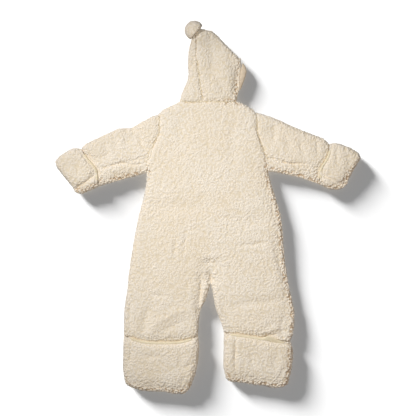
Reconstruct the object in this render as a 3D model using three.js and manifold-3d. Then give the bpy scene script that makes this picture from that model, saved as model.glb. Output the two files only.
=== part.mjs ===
// A baby's fleece snowsuit with a pointed hood, laid face down, its back up.
// Millimetres, +Z up, +Y towards the hood. The wearer's left is on the -X side.
// Every piece of cloth is a wall. An upper piece lies on a lower one, and the two
// meet along the sides of the garment at one seam level.
import * as THREE from 'three';
import { mergeVertices } from 'three/addons/utils/BufferGeometryUtils.js';
import Module from 'manifold-3d';

const wasm = await Module();
wasm.setup();

// Driving sizes of the cloth
const SEAM_GAP = 0.3; // between two pieces that meet at a seam
const WALL = 9; // curly pile, backing and lining together
const LAYER_SPACE = 2.5; // air between the upper and the lower layer
const CEILING = WALL + LAYER_SPACE; // inner face of an upper piece
const SEAM_LEVEL = 10; // height of the side seams
const ROLL = 12; // how far in from a side the cloth has turned flat
const TURN_IN = 7; // depth of the cut edge at a side seam
const SEAM_DIP = 0.6; // share of its loft that the cloth keeps at a sewn seam
const SEAM_ROLL = 11; // how far a sewn seam pulls the cloth down

// Loft of the upper layer over the surface, by area
const BODY_LOFT = 23;
const SLEEVE_LOFT = 20.5;
const HOOD_LOFT = 22;
const MITT_LOFT = 24;
const FOOT_LOFT = 26;

// The turned-over mitts and feet
const FLAP_EDGE = 3.9; // pressed edge of a flap, inside its binding
const FLAP_EDGE_DEPTH = 3.8; // how far in the edge stays pressed
const BINDING = 1; // thickness of the cotton binding
const BINDING_DEPTH = 4.8; // how far the binding reaches over the flap
const TUCK_LENGTH = 24; // how far a sleeve or leg goes on under its flap
const LEG_TUCK = { inset: 8.5, roll: 8, top: 16 }; // narrower by its inset on each side
const SLEEVE_TUCK = { inset: 11, roll: 11, top: 15 };
const TUCK_FALL = 2.5; // how much thinner it is at its own end

// The zip down the front, which lies underneath
const ZIP_X = 2;
const ZIP_TOP = 204;
const ZIP_BOTTOM = -121;
const ZIP_RECESS = 9; // half the distance between the two front edges
const ZIP_EDGE_LIFT = 5;
const ZIP_EDGE_ROLL = 6;
const TAPE_LEVEL = 6.6;
const TAPE = 1;
const COIL_WIDTH = 2.7;
const COIL_DEPTH = 0.7;
const SLIDER = { width: 9, length: 12, plate: 1.2, post: 3.7, clear: 0.3 };
const PULL = {
  width: 7, length: 26, thick: 1.6, pin: 0.8, arm: 0.5, eye: 3.3, join: 0.2, clear: 0.4, hole: 1.5, arch: 0.8,
};
const PULL_AXIS = { y: 200, z: 2.8 };
const BRIDGE_WIDTH = 2.4; // the pull tab hangs in a bridge on the slider

// Sides of the garment as seen from above, from the neck down
const leftSide = [
  { x: -62.7, y: 233 }, { x: -90, y: 220 }, { x: -107, y: 211 }, { x: -110, y: 205 },
  { x: -106, y: 187 }, { x: -106.5, y: 170 }, { x: -109.6, y: 153 }, { x: -123, y: 137 },
  { x: -131, y: 120 }, { x: -134, y: 86 }, { x: -134, y: 66 }, { x: -137, y: 45 },
  { x: -142, y: 20 }, { x: -148, y: 0 }, { x: -154, y: -26 }, { x: -162, y: -66 },
  { x: -168.5, y: -106 }, { x: -174, y: -145 }, { x: -178, y: -185 }, { x: -183, y: -215 },
  { x: -184.5, y: -245 }, { x: -185, y: -325 },
];
const rightSide = [
  { x: 63, y: 234 }, { x: 81, y: 227.7 }, { x: 94.6, y: 220 }, { x: 105, y: 211 },
  { x: 106.5, y: 200 }, { x: 106, y: 180 }, { x: 108, y: 163 }, { x: 114, y: 146.5 },
  { x: 123.5, y: 121 }, { x: 130, y: 95 }, { x: 132, y: 84 }, { x: 134.5, y: 66 },
  { x: 141, y: 45 }, { x: 148, y: 22 }, { x: 156, y: 0 }, { x: 161, y: -26 },
  { x: 165, y: -66 }, { x: 167.5, y: -106 }, { x: 173, y: -145 }, { x: 178.5, y: -178 },
  { x: 185, y: -206 }, { x: 189, y: -224 }, { x: 189.5, y: -255 }, { x: 187, y: -275 },
  { x: 181, y: -293 }, { x: 186, y: -315 }, { x: 187, y: -325 },
];
const SHOULDER_END = 205;
const UNDERARM = 84;
const CROTCH = { x: 6, y: -165 };
const leftInseam = [
  { x: 6, y: -165 }, { x: 3, y: -175 }, { x: -4.8, y: -201 }, { x: -13, y: -218 },
  { x: -19, y: -230 }, { x: -20.5, y: -255 }, { x: -22, y: -283 }, { x: -20, y: -300 },
  { x: -20.5, y: -325 },
];
const rightInseam = [
  { x: 6, y: -165 }, { x: 9, y: -175 }, { x: 12, y: -196 }, { x: 16.5, y: -218 },
  { x: 22.4, y: -237 }, { x: 32, y: -260 }, { x: 35, y: -277 }, { x: 34.6, y: -300 },
  { x: 34.3, y: -325 },
];
// Open edges of the foot flaps, from left to right
const leftFootLip = [
  { x: -185, y: -284 }, { x: -173, y: -282.5 }, { x: -162, y: -285 }, { x: -146, y: -291.5 },
  { x: -122, y: -293.5 }, { x: -74, y: -293 }, { x: -51, y: -291 }, { x: -34, y: -284.5 },
  { x: -21.5, y: -283 },
];
const rightFootLip = [
  { x: 35, y: -275 }, { x: 59, y: -276 }, { x: 89, y: -280 }, { x: 121, y: -285 },
  { x: 134, y: -288 }, { x: 168, y: -293 }, { x: 181, y: -293.5 },
];
// The feet below those edges: the two sides and the toe end
const leftFoot = {
  sideA: [{ x: -185, y: -284 }, { x: -186.3, y: -329 }, { x: -185.5, y: -370 }, { x: -179, y: -388 }],
  sideB: [{ x: -21.5, y: -283 }, { x: -19.6, y: -300 }, { x: -20.7, y: -329 }, { x: -26.4, y: -359 },
    { x: -35, y: -386 }, { x: -42, y: -399 }],
  tip: [{ x: -179, y: -388 }, { x: -158, y: -398 }, { x: -134, y: -402.6 }, { x: -103, y: -403 },
    { x: -75, y: -407.5 }, { x: -57, y: -410 }, { x: -42, y: -399 }],
};
const rightFoot = {
  sideA: [{ x: 35, y: -275 }, { x: 34.3, y: -325 }, { x: 34, y: -353 }, { x: 36.5, y: -368 },
    { x: 44, y: -379 }],
  sideB: [{ x: 181, y: -293.5 }, { x: 186, y: -312 }, { x: 187, y: -321 }, { x: 184.8, y: -342 },
    { x: 181, y: -364 }, { x: 175, y: -386 }],
  tip: [{ x: 44, y: -379 }, { x: 56, y: -382 }, { x: 73, y: -382.5 }, { x: 100, y: -388 },
    { x: 129, y: -391 }, { x: 156, y: -397 }, { x: 175, y: -386 }],
};
// Sleeves from the armhole to the open edge of the mitt
const leftSleeve = {
  top: [{ x: -110, y: 205 }, { x: -123, y: 201.5 }, { x: -140, y: 192 }, { x: -156, y: 180 },
    { x: -168, y: 175.6 }, { x: -190, y: 175.6 }, { x: -207, y: 171 }, { x: -224, y: 162 },
    { x: -249, y: 150 }, { x: -269, y: 140 }, { x: -279, y: 129.5 }],
  bottom: [{ x: -134, y: 81 }, { x: -157, y: 71 }, { x: -190, y: 62.5 }, { x: -216, y: 56 },
    { x: -241, y: 47 }],
  lip: [{ x: -279, y: 129.5 }, { x: -262, y: 107 }, { x: -244, y: 86 }, { x: -242, y: 72 },
    { x: -241, y: 47 }],
  seam: [{ along: 0, in: 19 }, { along: 0.12, in: 33 }, { along: 0.5, in: 33 }, { along: 1, in: 37 }],
};
const leftMitt = {
  sideA: [{ x: -279, y: 129.5 }, { x: -293, y: 131.3 }, { x: -311, y: 124 }, { x: -327, y: 113 }],
  sideB: [{ x: -241, y: 47 }, { x: -265, y: 36.5 }, { x: -283, y: 31 }, { x: -293, y: 37 }],
  tip: [{ x: -327, y: 113 }, { x: -336, y: 98.6 }, { x: -320, y: 73 }, { x: -309, y: 60 },
    { x: -298.5, y: 47 }, { x: -293, y: 37 }],
};
const rightSleeve = {
  top: [{ x: 105, y: 211 }, { x: 142, y: 199 }, { x: 173, y: 185 }, { x: 200, y: 172 },
    { x: 227, y: 165 }, { x: 245, y: 157.5 }, { x: 256, y: 150 }, { x: 266, y: 140.5 }],
  bottom: [{ x: 132, y: 82 }, { x: 154, y: 78 }, { x: 191, y: 70 }, { x: 227, y: 59 },
    { x: 247, y: 51.5 }],
  lip: [{ x: 266, y: 140.5 }, { x: 261.5, y: 112 }, { x: 244, y: 85 }, { x: 243.5, y: 72 },
    { x: 247, y: 51.5 }],
  seam: [{ along: 0, in: 32 }, { along: 0.3, in: 27 }, { along: 0.65, in: 24 }, { along: 1, in: 31 }],
};
const rightMitt = {
  sideA: [{ x: 266, y: 140.5 }, { x: 280, y: 143 }, { x: 291, y: 140.4 }, { x: 306, y: 135 },
    { x: 320, y: 128 }, { x: 330, y: 121 }],
  sideB: [{ x: 247, y: 51.5 }, { x: 266, y: 42 }, { x: 279, y: 40.5 }, { x: 291, y: 41.6 },
    { x: 300.5, y: 47.5 }],
  tip: [{ x: 330, y: 121 }, { x: 335.5, y: 111 }, { x: 329, y: 98.6 }, { x: 320, y: 83 },
    { x: 310, y: 66 }, { x: 305.6, y: 53 }, { x: 300.5, y: 47.5 }],
};
// The hood, turned to its right, so that its face edge looks out at the right
const hoodLeft = [
  { x: -62.7, y: 233.5 }, { x: -55.2, y: 257.4 }, { x: -49, y: 270 }, { x: -43, y: 286 },
  { x: -42, y: 296 }, { x: -44, y: 308 }, { x: -43.5, y: 320 }, { x: -42.5, y: 341 },
  { x: -38, y: 364 }, { x: -34.8, y: 372.5 },
];
const hoodSeam = [
  { x: -10.8, y: 233.5 }, { x: -17, y: 271 }, { x: -19.6, y: 299 }, { x: -26.5, y: 334 },
  { x: -25.5, y: 359 }, { x: -28.4, y: 380 },
];
const hoodRight = [
  { x: 63, y: 234 }, { x: 64.9, y: 248.6 }, { x: 69.4, y: 259.6 }, { x: 69.3, y: 281.6 },
  { x: 70.4, y: 297 }, { x: 73.3, y: 309 }, { x: 75.8, y: 320 }, { x: 53.2, y: 343.9 },
  { x: 33.7, y: 363.7 }, { x: 13.9, y: 385.9 }, { x: -3.5, y: 391.4 }, { x: -17.4, y: 393.1 },
];
const faceFacing = {
  inner: [{ x: 69.9, y: 259.6 }, { x: 69.7, y: 281.6 }, { x: 70.8, y: 297 }, { x: 73.7, y: 309 },
    { x: 76, y: 318 }],
  outer: [{ x: 71.8, y: 260 }, { x: 77.5, y: 274 }, { x: 84.3, y: 294.6 }, { x: 85.4, y: 303.2 },
    { x: 82.9, y: 311 }, { x: 78, y: 318.6 }],
};
const NECK = 233;
const FRONT_NECK_DROP = 17; // the neckline is lower in front than at the back
const DROP_START = 192; // above this height the rows of the fronts bend towards it
const HALF_NECK = 62;

// The bobble at the hood's tip, gathered where it meets the hood
const BOBBLE = { x: -30.1, y: 389.4, z: 19, radius: 21, toHood: 6.9 };
const TO_HOOD = new THREE.Vector2(0.765, -0.643);

// The largest folds of the upper layer. A fold is a line, its half width and its
// depth, which is negative for a hollow.
const folds = [
  { fromX: 4, fromY: -146, toX: 5, toY: -158, width: 11, depth: -8 },
  { fromX: -20, fromY: -128, toX: 3, toY: -117, width: 8, depth: -3 },
  { fromX: 3, fromY: -117, toX: 32, toY: -131, width: 8, depth: -3 },
  { fromX: -19, fromY: -155, toX: -18, toY: -226, width: 6, depth: -2.5 },
  { fromX: -169, fromY: 178, toX: -158, toY: 150, width: 12, depth: -4 },
  { fromX: 142, fromY: 170, toX: 136, toY: 151, width: 8, depth: -3.5 },
  { fromX: 136, fromY: 151, toX: 124, toY: 140, width: 8, depth: -3.5 },
  { fromX: -262, fromY: 112, toX: -240, toY: 104, width: 8, depth: -3.5 },
  { fromX: 9, fromY: 350, toX: 9, toY: 298, width: 15, depth: -4 },
  { fromX: -5, fromY: 335, toX: 3, toY: 245, width: 8, depth: 1.5 },
  { fromX: 121, fromY: -283, toX: 157, toY: -268, width: 9, depth: -4 },
  { fromX: -244, fromY: 79, toX: -280, toY: 49, width: 5, depth: -3.5 },
  { fromX: -280, fromY: 49, toX: -296, toY: 43, width: 5, depth: -3.5 },
  { fromX: 244, fromY: 77, toX: 300, toY: 53, width: 5, depth: -3.5 },
  { fromX: -174, fromY: -286, toX: -177, toY: -366, width: 5, depth: -3 },
  { fromX: 58, fromY: -280, toX: 63, toY: -366, width: 5, depth: -3 },
  { fromX: 182, fromY: -314, toX: 164, toY: -326, width: 6, depth: -2.5 },
];

// Colours of the cloth and the metal
const finishes = {
  fleece: { color: 0xeee1cd, roughness: 0.95, metalness: 0 },
  cotton: { color: 0xf3e8c8, roughness: 0.8, metalness: 0 },
  tape: { color: 0xefe5d0, roughness: 0.75, metalness: 0 },
  metal: { color: 0xb9b6ae, roughness: 0.35, metalness: 1 },
};

const clamp = THREE.MathUtils.clamp;
const lerp = THREE.MathUtils.lerp;
const smooth = (from, to, value) => THREE.MathUtils.smoothstep(value, from, to);

// Plane curves through the points of a table, and what is measured on them
function curveThrough(table) {
  const points = table.map(({ x, y }) => new THREE.Vector3(x, y, 0));
  return new THREE.CatmullRomCurve3(points, false, 'centripetal');
}

function xAtHeight(table) {
  const points = curveThrough(table).getPoints(table.length * 8);
  return (y) => {
    const next = points.findIndex((point) => point.y <= y);
    if (next <= 0) return points[next === 0 ? 0 : points.length - 1].x;
    const [a, b] = [points[next - 1], points[next]];
    return lerp(a.x, b.x, (a.y - y) / (a.y - b.y));
  };
}

function yAtWidth(table) {
  const points = curveThrough(table).getPoints(table.length * 8);
  return (x) => {
    const next = points.findIndex((point) => point.x >= x);
    if (next <= 0) return points[next === 0 ? 0 : points.length - 1].y;
    const [a, b] = [points[next - 1], points[next]];
    return lerp(a.y, b.y, (x - a.x) / (b.x - a.x));
  };
}

function distanceToSegment(x, y, a, b) {
  const [dx, dy] = [b.x - a.x, b.y - a.y];
  const along = clamp(((x - a.x) * dx + (y - a.y) * dy) / (dx * dx + dy * dy), 0, 1);
  return Math.hypot(x - a.x - along * dx, y - a.y - along * dy);
}

function distanceTo(...tables) {
  const lines = tables.map((table) => curveThrough(table).getPoints(table.length * 4));
  return (x, y) => {
    let nearest = Infinity;
    for (const line of lines) {
      for (let k = 1; k < line.length; k += 1) {
        nearest = Math.min(nearest, distanceToSegment(x, y, line[k - 1], line[k]));
      }
    }
    return nearest;
  };
}

const between = (table, top, bottom) => table.filter(({ y }) => y <= top && y >= bottom);

// Height of the cloth over the surface
function foldsAt(x, y) {
  let sum = 0;
  for (const fold of folds) {
    const from = { x: fold.fromX, y: fold.fromY };
    const to = { x: fold.toX, y: fold.toY };
    sum += fold.depth * Math.exp(-((distanceToSegment(x, y, from, to) / fold.width) ** 2));
  }
  return sum;
}

// 0 at an edge, 1 where the cloth has turned flat, with a quarter round between
function turned(distance, width) {
  const share = clamp(distance / width, 0, 1);
  return Math.sqrt(1 - (1 - share) ** 2);
}

function upperOuter(area) {
  return (x, y) => {
    const side = turned(area.sides(x, y), ROLL);
    const sewn = area.seams ? lerp(SEAM_DIP, 1, turned(area.seams(x, y), SEAM_ROLL)) : 1;
    const loft = area.loft(x, y) + foldsAt(x, y) - SEAM_LEVEL;
    return SEAM_LEVEL + SEAM_GAP / 2 + loft * Math.min(side, sewn);
  };
}

function upperInner(area) {
  return (x, y) => {
    const start = SEAM_LEVEL + SEAM_GAP / 2;
    return lerp(start, CEILING, smooth(TURN_IN, TURN_IN + 2.5, area.sides(x, y)));
  };
}

function lowerOuter(area) {
  return (x, y) => {
    const side = (SEAM_LEVEL - SEAM_GAP / 2) * (1 - turned(area.sides(x, y), ROLL));
    const zip = area.zip ? ZIP_EDGE_LIFT * (1 - turned(area.zip(x, y), ZIP_EDGE_ROLL)) : 0;
    return Math.max(side, zip);
  };
}

function lowerInner(area) {
  return (x, y) => {
    const start = SEAM_LEVEL - SEAM_GAP / 2;
    return lerp(start, WALL, smooth(TURN_IN, TURN_IN + 2.5, area.sides(x, y)));
  };
}

// Where the points of a row lie, as distances from its start. They are close
// together where the cloth turns, and the inner face starts behind the cut edge.
const TURN_STEPS = [0, 0.08, 0.33, 0.75];
const INNER_STEPS = [0, 0.12, 0.35, 0.75];
const SEWN_STEPS = [0, 0.25, 0.5, 0.8];
const AFTER_TURN = 1.15; // a bound edge keeps one more point where the turn has ended

function edgeSteps(kind, face, width, slant) {
  const room = Math.min(1, (0.42 * width) / (ROLL * slant));
  const reach = ROLL * slant * room;
  if (kind === 'rolled' && face === 'outer') return TURN_STEPS.map((step) => step * reach);
  if (kind === 'rolled') {
    const start = TURN_IN * slant * room;
    return INNER_STEPS.map((step) => start + step * (reach - start) * 1.05);
  }
  if (kind === 'bound') return [...edgeSteps('rolled', face, width, slant), AFTER_TURN * reach];
  if (kind === 'sewn') return SEWN_STEPS.map((step) => step * reach);
  return [0];
}

function stepsAcross(width, kinds, face, middle, slant = 1) {
  const start = edgeSteps(kinds[0], face, width, slant);
  const end = edgeSteps(kinds[1], face, width, slant).map((step) => width - step).reverse();
  const [a, b] = [start.at(-1), end[0]];
  const inside = Array.from({ length: middle }, (_, k) => lerp(a, b, (k + 1) / (middle + 1)));
  return [...start, ...inside, ...end];
}

// A patch between four edges, as a function of the shares along and across
function patchBetween(start, end, sideA, sideB) {
  const [first, last] = [curveThrough(start), curveThrough(end)];
  const [left, right] = [curveThrough(sideA), curveThrough(sideB)];
  const corners = [first.getPointAt(0), first.getPointAt(1), last.getPointAt(0), last.getPointAt(1)];
  return (across, along) => {
    const point = first.getPointAt(across).multiplyScalar(1 - along);
    point.addScaledVector(last.getPointAt(across), along);
    point.addScaledVector(left.getPointAt(along), 1 - across);
    point.addScaledVector(right.getPointAt(along), across);
    point.addScaledVector(corners[0], -(1 - across) * (1 - along));
    point.addScaledVector(corners[1], -across * (1 - along));
    point.addScaledVector(corners[2], -(1 - across) * along);
    point.addScaledVector(corners[3], -across * along);
    return point;
  };
}

// Closed walls from an outer and an inner sheet of points
function addQuad(triangles, a, b, c, d) {
  triangles.push(a, b, c, a, c, d);
}

function wallTriangles(outer, inner, hasWall = () => true) {
  const triangles = [];
  const [rows, columns] = [outer.length - 1, outer[0].length - 1];
  for (let i = 0; i < rows; i += 1) {
    for (let j = 0; j < columns; j += 1) {
      addQuad(triangles, outer[i][j], outer[i + 1][j], outer[i + 1][j + 1], outer[i][j + 1]);
      addQuad(triangles, inner[i][j], inner[i][j + 1], inner[i + 1][j + 1], inner[i + 1][j]);
    }
    if (hasWall('start', i)) {
      addQuad(triangles, inner[i][0], inner[i + 1][0], outer[i + 1][0], outer[i][0]);
    }
    if (hasWall('end', i)) {
      const [from, to] = [i, i + 1];
      addQuad(triangles, outer[from][columns], outer[to][columns], inner[to][columns],
        inner[from][columns]);
    }
  }
  for (let j = 0; j < columns; j += 1) {
    addQuad(triangles, inner[0][j], outer[0][j], outer[0][j + 1], inner[0][j + 1]);
    addQuad(triangles, outer[rows][j], inner[rows][j], inner[rows][j + 1], outer[rows][j + 1]);
  }
  return triangles;
}

function bodyFrom(triangles) {
  const raw = new THREE.BufferGeometry().setFromPoints(triangles);
  const merged = mergeVertices(raw, 1e-3);
  const index = [];
  for (let k = 0; k < merged.index.count; k += 3) {
    const [a, b, c] = [0, 1, 2].map((step) => merged.index.getX(k + step));
    if (a !== b && b !== c && c !== a) index.push(a, b, c);
  }
  const place = merged.attributes.position;
  const corner = (vertex) => new THREE.Vector3().fromBufferAttribute(place, vertex);
  let volume = 0;
  for (let k = 0; k < index.length; k += 3) {
    const [a, b, c] = [corner(index[k]), corner(index[k + 1]), corner(index[k + 2])];
    volume += a.dot(b.cross(c));
  }
  if (volume < 0) index.reverse();
  merged.setIndex(index);
  merged.computeVertexNormals();
  return merged;
}

const suit = new THREE.Group();

function addPiece(name, geometry, finish) {
  const mesh = new THREE.Mesh(geometry, new THREE.MeshStandardMaterial(finishes[finish]));
  mesh.name = name;
  suit.add(mesh);
}

const raise = (points, height) => points.map(({ x, y }) => new THREE.Vector3(x, y, height(x, y)));

// The rows of the body and the legs. A row is level, or follows the open edge of
// the foot flap and lies so far above it. The fine ones are in the back only.
const bodyRows = [
  { level: 233 }, { level: 226, fine: true }, { level: 216 }, { level: 205 }, { level: 192 },
  { level: 168 }, { level: 145 }, { level: 120 }, { level: 96 }, { level: 84 }, { level: 76 },
  { level: 55 }, { level: 20 }, { level: -15, fine: true }, { level: -50 },
  { level: -85, fine: true }, { level: -106, fine: true }, { level: ZIP_BOTTOM }, { level: -126 },
  { level: -138, fine: true }, { level: -150, fine: true }, { level: -158, fine: true },
  { level: CROTCH.y },
];
const legRows = [
  { level: -173, follow: 0, above: 0 }, { level: -185, follow: 0, above: 0 },
  { level: -202, follow: 0, above: 0 }, { level: -225, follow: 0.1, above: 60 },
  { level: -248, follow: 0.5, above: 33 }, { level: 0, follow: 1, above: 16 },
  { level: 0, follow: 1, above: 8 }, { level: 0, follow: 1, above: 3.8 },
];
const tuckRows = [2.4, -12, -TUCK_LENGTH];

function legRow(row, lipY, sideX, inseamX) {
  const heightAt = (x) => lerp(row.level, lipY(x) + row.above, row.follow);
  const ends = [sideX, inseamX].map((edge) => {
    const guess = heightAt(edge(row.follow ? -285 : row.level));
    return edge(heightAt(edge(guess)));
  });
  return (share) => {
    const x = lerp(ends[0], ends[1], share);
    return { x, y: heightAt(x) };
  };
}

// One half of the body with its leg: points of its rows from the side inwards
const halves = {
  left: {
    side: leftSide, inseam: leftInseam, lip: leftFootLip, foot: leftFoot, sign: -1, shoulderTip: 205,
  },
  right: {
    side: rightSide, inseam: rightInseam, lip: rightFootLip, foot: rightFoot, sign: 1, shoulderTip: 211,
  },
};
for (const half of Object.values(halves)) {
  half.sideX = xAtHeight(half.side);
  half.inseamX = xAtHeight(half.inseam);
  half.lipY = yAtWidth(half.lip);
  const shoulder = between(half.side, NECK + 1, SHOULDER_END);
  const flank = between(half.side, UNDERARM + 2, -Infinity);
  half.armhole = between(half.side, half.shoulderTip, UNDERARM - 2);
  half.bodySides = distanceTo(shoulder, flank, half.inseam);
  half.bodySeams = distanceTo(half.armhole, [{ x: half.side[0].x, y: NECK }, { x: 0, y: NECK }]);
}
const bodySides = (x, y) => Math.min(halves.left.bodySides(x, y), halves.right.bodySides(x, y));
const bodySeams = (x, y) => Math.min(halves.left.bodySeams(x, y), halves.right.bodySeams(x, y));
const centreX = (y) => lerp(ZIP_X, CROTCH.x, 1 - smooth(CROTCH.y, 0, y));

function sideKind(y) {
  return y < SHOULDER_END && y > UNDERARM ? 'sewn' : 'rolled';
}

// On the sloping shoulders a level row crosses the turn of the cloth aslant
const shoulderSlant = (y) => (y > SHOULDER_END ? 2 : 1);

function rowFrom(pointAt, kinds, face, middle, slant) {
  const [a, b] = [pointAt(0), pointAt(1)];
  const width = Math.hypot(a.x - b.x, a.y - b.y);
  return stepsAcross(width, kinds, face, middle, slant).map((step) => pointAt(step / width));
}

// The tucked end of a sleeve or leg gets thinner towards its hem
function tuckTop(top, beyond) {
  return top - TUCK_FALL * clamp(beyond / TUCK_LENGTH, 0, 1);
}

// The back: both halves in one piece, open between the legs. Above the crotch the
// two halves share the points on the centre line.
const PUFF = 1.5; // how much higher the middle of the back lies than its sides
const LOFT_AT_FLAP = 18.5; // the leg sinks to this before it goes under its flap
const TUCK_START = 3; // how far above the open edge of a flap the leg is at its narrowest
const CROTCH_LIFT = 4;

function backHeights(half) {
  const beyondLip = (x, y) => half.lipY(x) - y;
  const loft = (x, y) => {
    const low = BODY_LOFT - PUFF * (1 - smooth(20, 90, bodySides(x, y)));
    const nearFlap = y < CROTCH.y ? smooth(-16, -4, beyondLip(x, y)) : 0;
    return lerp(low, LOFT_AT_FLAP, nearFlap);
  };
  const area = { sides: bodySides, seams: bodySeams, loft };
  const [outer, inner] = [upperOuter(area), upperInner(area)];
  const isTucked = (x, y) => y < CROTCH.y && beyondLip(x, y) > -TUCK_START;
  return {
    outer: (x, y) => {
      if (!isTucked(x, y)) return outer(x, y);
      const rise = tuckTop(LEG_TUCK.top, beyondLip(x, y)) - SEAM_LEVEL;
      const inside = half.bodySides(x, y) - LEG_TUCK.inset;
      return SEAM_LEVEL + SEAM_GAP / 2 + rise * turned(inside, LEG_TUCK.roll);
    },
    inner: (x, y) => {
      if (!isTucked(x, y)) return inner(x, y);
      const start = SEAM_LEVEL + SEAM_GAP / 2;
      const inside = half.bodySides(x, y) - LEG_TUCK.inset;
      return lerp(start, CEILING, smooth(4.5, 6.5, inside));
    },
  };
}

function backHalf(half, face) {
  const height = backHeights(half)[face];
  const middle = 5;
  const rows = bodyRows.map(({ level }) => {
    const [side, centre] = [half.sideX(level), centreX(level)];
    const pointAt = (share) => ({ x: lerp(side, centre, share), y: level });
    const kinds = [sideKind(level), 'sewn'];
    const row = raise(rowFrom(pointAt, kinds, face, middle, shoulderSlant(level)), height);
    if (level === CROTCH.y && face === 'outer') row.at(-1).z = SEAM_LEVEL + CROTCH_LIFT;
    return row;
  });
  for (const row of legRows) {
    const pointAt = legRow(row, half.lipY, half.sideX, half.inseamX);
    rows.push(raise(rowFrom(pointAt, ['rolled', 'rolled'], face, middle, 1), height));
  }
  for (const above of tuckRows) {
    const pointAt = legRow({ level: 0, follow: 1, above }, half.lipY, half.sideX, half.inseamX);
    const [a, b] = [pointAt(0), pointAt(1)];
    const width = Math.hypot(a.x - b.x, a.y - b.y);
    const inset = LEG_TUCK.inset / width;
    const narrow = (share) => pointAt(lerp(inset, 1 - inset, share));
    const row = rowFrom(narrow, ['rolled', 'rolled'], face, middle, LEG_TUCK.roll / ROLL);
    rows.push(raise(row, height));
  }
  return rows;
}

function makeBack() {
  const triangles = [];
  for (const half of Object.values(halves)) {
    const [outer, inner] = [backHalf(half, 'outer'), backHalf(half, 'inner')];
    const hasWall = (edge, row) => edge === 'start' || row >= bodyRows.length - 1;
    const shell = wallTriangles(outer, inner, hasWall);
    if (half.sign > 0) shell.reverse();
    triangles.push(...shell);
  }
  addPiece('back', bodyFrom(triangles), 'fleece');
}

// Pieces that lie on a foot or a mitt: a patch from the open edge to the tip
function outlineOf(end) {
  return distanceTo(end.sideA, end.sideB, end.tip);
}

function patchRows(patch, alongKinds, acrossKinds, face, middles, height, from = 0) {
  const length = patch(0.5, 0).distanceTo(patch(0.5, 1));
  const steps = stepsAcross(length - from, alongKinds, face, middles.along);
  return steps.map((step) => {
    const along = (from + step) / length;
    const pointAt = (share) => patch(share, along);
    return raise(rowFrom(pointAt, acrossKinds, face, middles.across, 1), height);
  });
}

// The fronts lie flat underneath and run on below the foot flaps to the toes
const neckDrop = (x) => FRONT_NECK_DROP * Math.max(0, 1 - (x / HALF_NECK) ** 2);

function frontRows(half, face) {
  const toe = outlineOf(half.foot);
  const zipEdge = ZIP_X + half.sign * ZIP_RECESS;
  const zip = distanceTo([{ x: zipEdge, y: NECK }, { x: zipEdge, y: ZIP_BOTTOM }]);
  const area = { sides: (x, y) => Math.min(half.bodySides(x, y), toe(x, y)), zip };
  const height = face === 'outer' ? lowerOuter(area) : lowerInner(area);
  const middle = 1;
  const rows = bodyRows.filter(({ fine }) => !fine).map(({ level }) => {
    const away = level >= ZIP_BOTTOM ? ZIP_RECESS : SEAM_GAP / 2;
    const base = level >= ZIP_BOTTOM ? ZIP_X : centreX(level);
    const [side, centre] = [half.sideX(level), base + half.sign * away];
    const fade = clamp((level - DROP_START) / (NECK - DROP_START), 0, 1);
    const pointAt = (share) => {
      const x = lerp(side, centre, share);
      return { x, y: level - fade * neckDrop(x) };
    };
    const kinds = [sideKind(level), 'sewn'];
    return raise(rowFrom(pointAt, kinds, face, middle, shoulderSlant(level)), height);
  });
  for (const row of legRows) {
    const pointAt = legRow(row, half.lipY, half.sideX, half.inseamX);
    rows.push(raise(rowFrom(pointAt, ['rolled', 'rolled'], face, middle, 1), height));
  }
  const patch = patchBetween(half.lip, half.foot.tip, half.foot.sideA, half.foot.sideB);
  const middles = { along: 2, across: middle };
  const footRows = patchRows(patch, ['none', 'rolled'], ['rolled', 'rolled'], face, middles, height);
  rows.push(...footRows.map((row) => (half.sign < 0 ? row : [...row].reverse())));
  return rows;
}

function makeFronts() {
  for (const [side, half] of Object.entries(halves)) {
    const triangles = wallTriangles(frontRows(half, 'outer'), frontRows(half, 'inner'));
    addPiece(`front_${side}`, bodyFrom(triangles), 'fleece');
  }
}

// A turned-over flap, with a pressed edge for its binding
const CLEAR_OF_TUCK = 1;

function flapHeights(flap) {
  const lip = distanceTo(flap.lip);
  const sides = outlineOf(flap.end);
  const start = SEAM_LEVEL + SEAM_GAP / 2;
  const under = (beyond) => {
    const space = beyond < BINDING_DEPTH + 3 ? BINDING + 3 * SEAM_GAP : CLEAR_OF_TUCK;
    const lying = tuckTop(flap.tuck.top, beyond) + space;
    return lerp(lying, CEILING, smooth(TUCK_LENGTH + 1, TUCK_LENGTH + 10, beyond));
  };
  return {
    inner: (x, y) => {
      const rise = under(lip(x, y)) - SEAM_LEVEL;
      return start + rise * turned(sides(x, y) - TURN_IN, LEG_TUCK.roll);
    },
    outer: (x, y) => {
      const beyond = lip(x, y);
      const edge = under(beyond) + FLAP_EDGE;
      const lofty = smooth(BINDING_DEPTH + 0.6, BINDING_DEPTH + 7, beyond);
      const loft = lerp(edge, flap.loft + foldsAt(x, y), lofty);
      return start + (loft - SEAM_LEVEL) * turned(sides(x, y), ROLL);
    },
  };
}

// Rows of a flap near its open edge, which lies inside the fold of the binding
const CLOTH_START = 1.6;
const LIP_STEPS = [CLOTH_START, CLOTH_START + FLAP_EDGE_DEPTH, 9, 14, 23];

function flapRows(flap, face) {
  const patch = patchBetween(flap.lip, flap.end.tip, flap.end.sideA, flap.end.sideB);
  const height = flapHeights(flap)[face];
  const length = patch(0.5, 0).distanceTo(patch(0.5, 1));
  const last = LIP_STEPS.at(-1);
  const rest = stepsAcross(length - last, ['none', 'rolled'], face, 2).map((step) => last + step);
  return [...LIP_STEPS, ...rest.slice(1)].map((step) => {
    const pointAt = (share) => patch(share, step / length);
    return raise(rowFrom(pointAt, ['bound', 'bound'], face, 4, 1), height);
  });
}

// The binding is folded round the edge of a flap, from underneath to the top
const FOLD = { inside: 1.3, shoulder: 0.7, outside: 0.2 }; // depths in from the open edge

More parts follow.
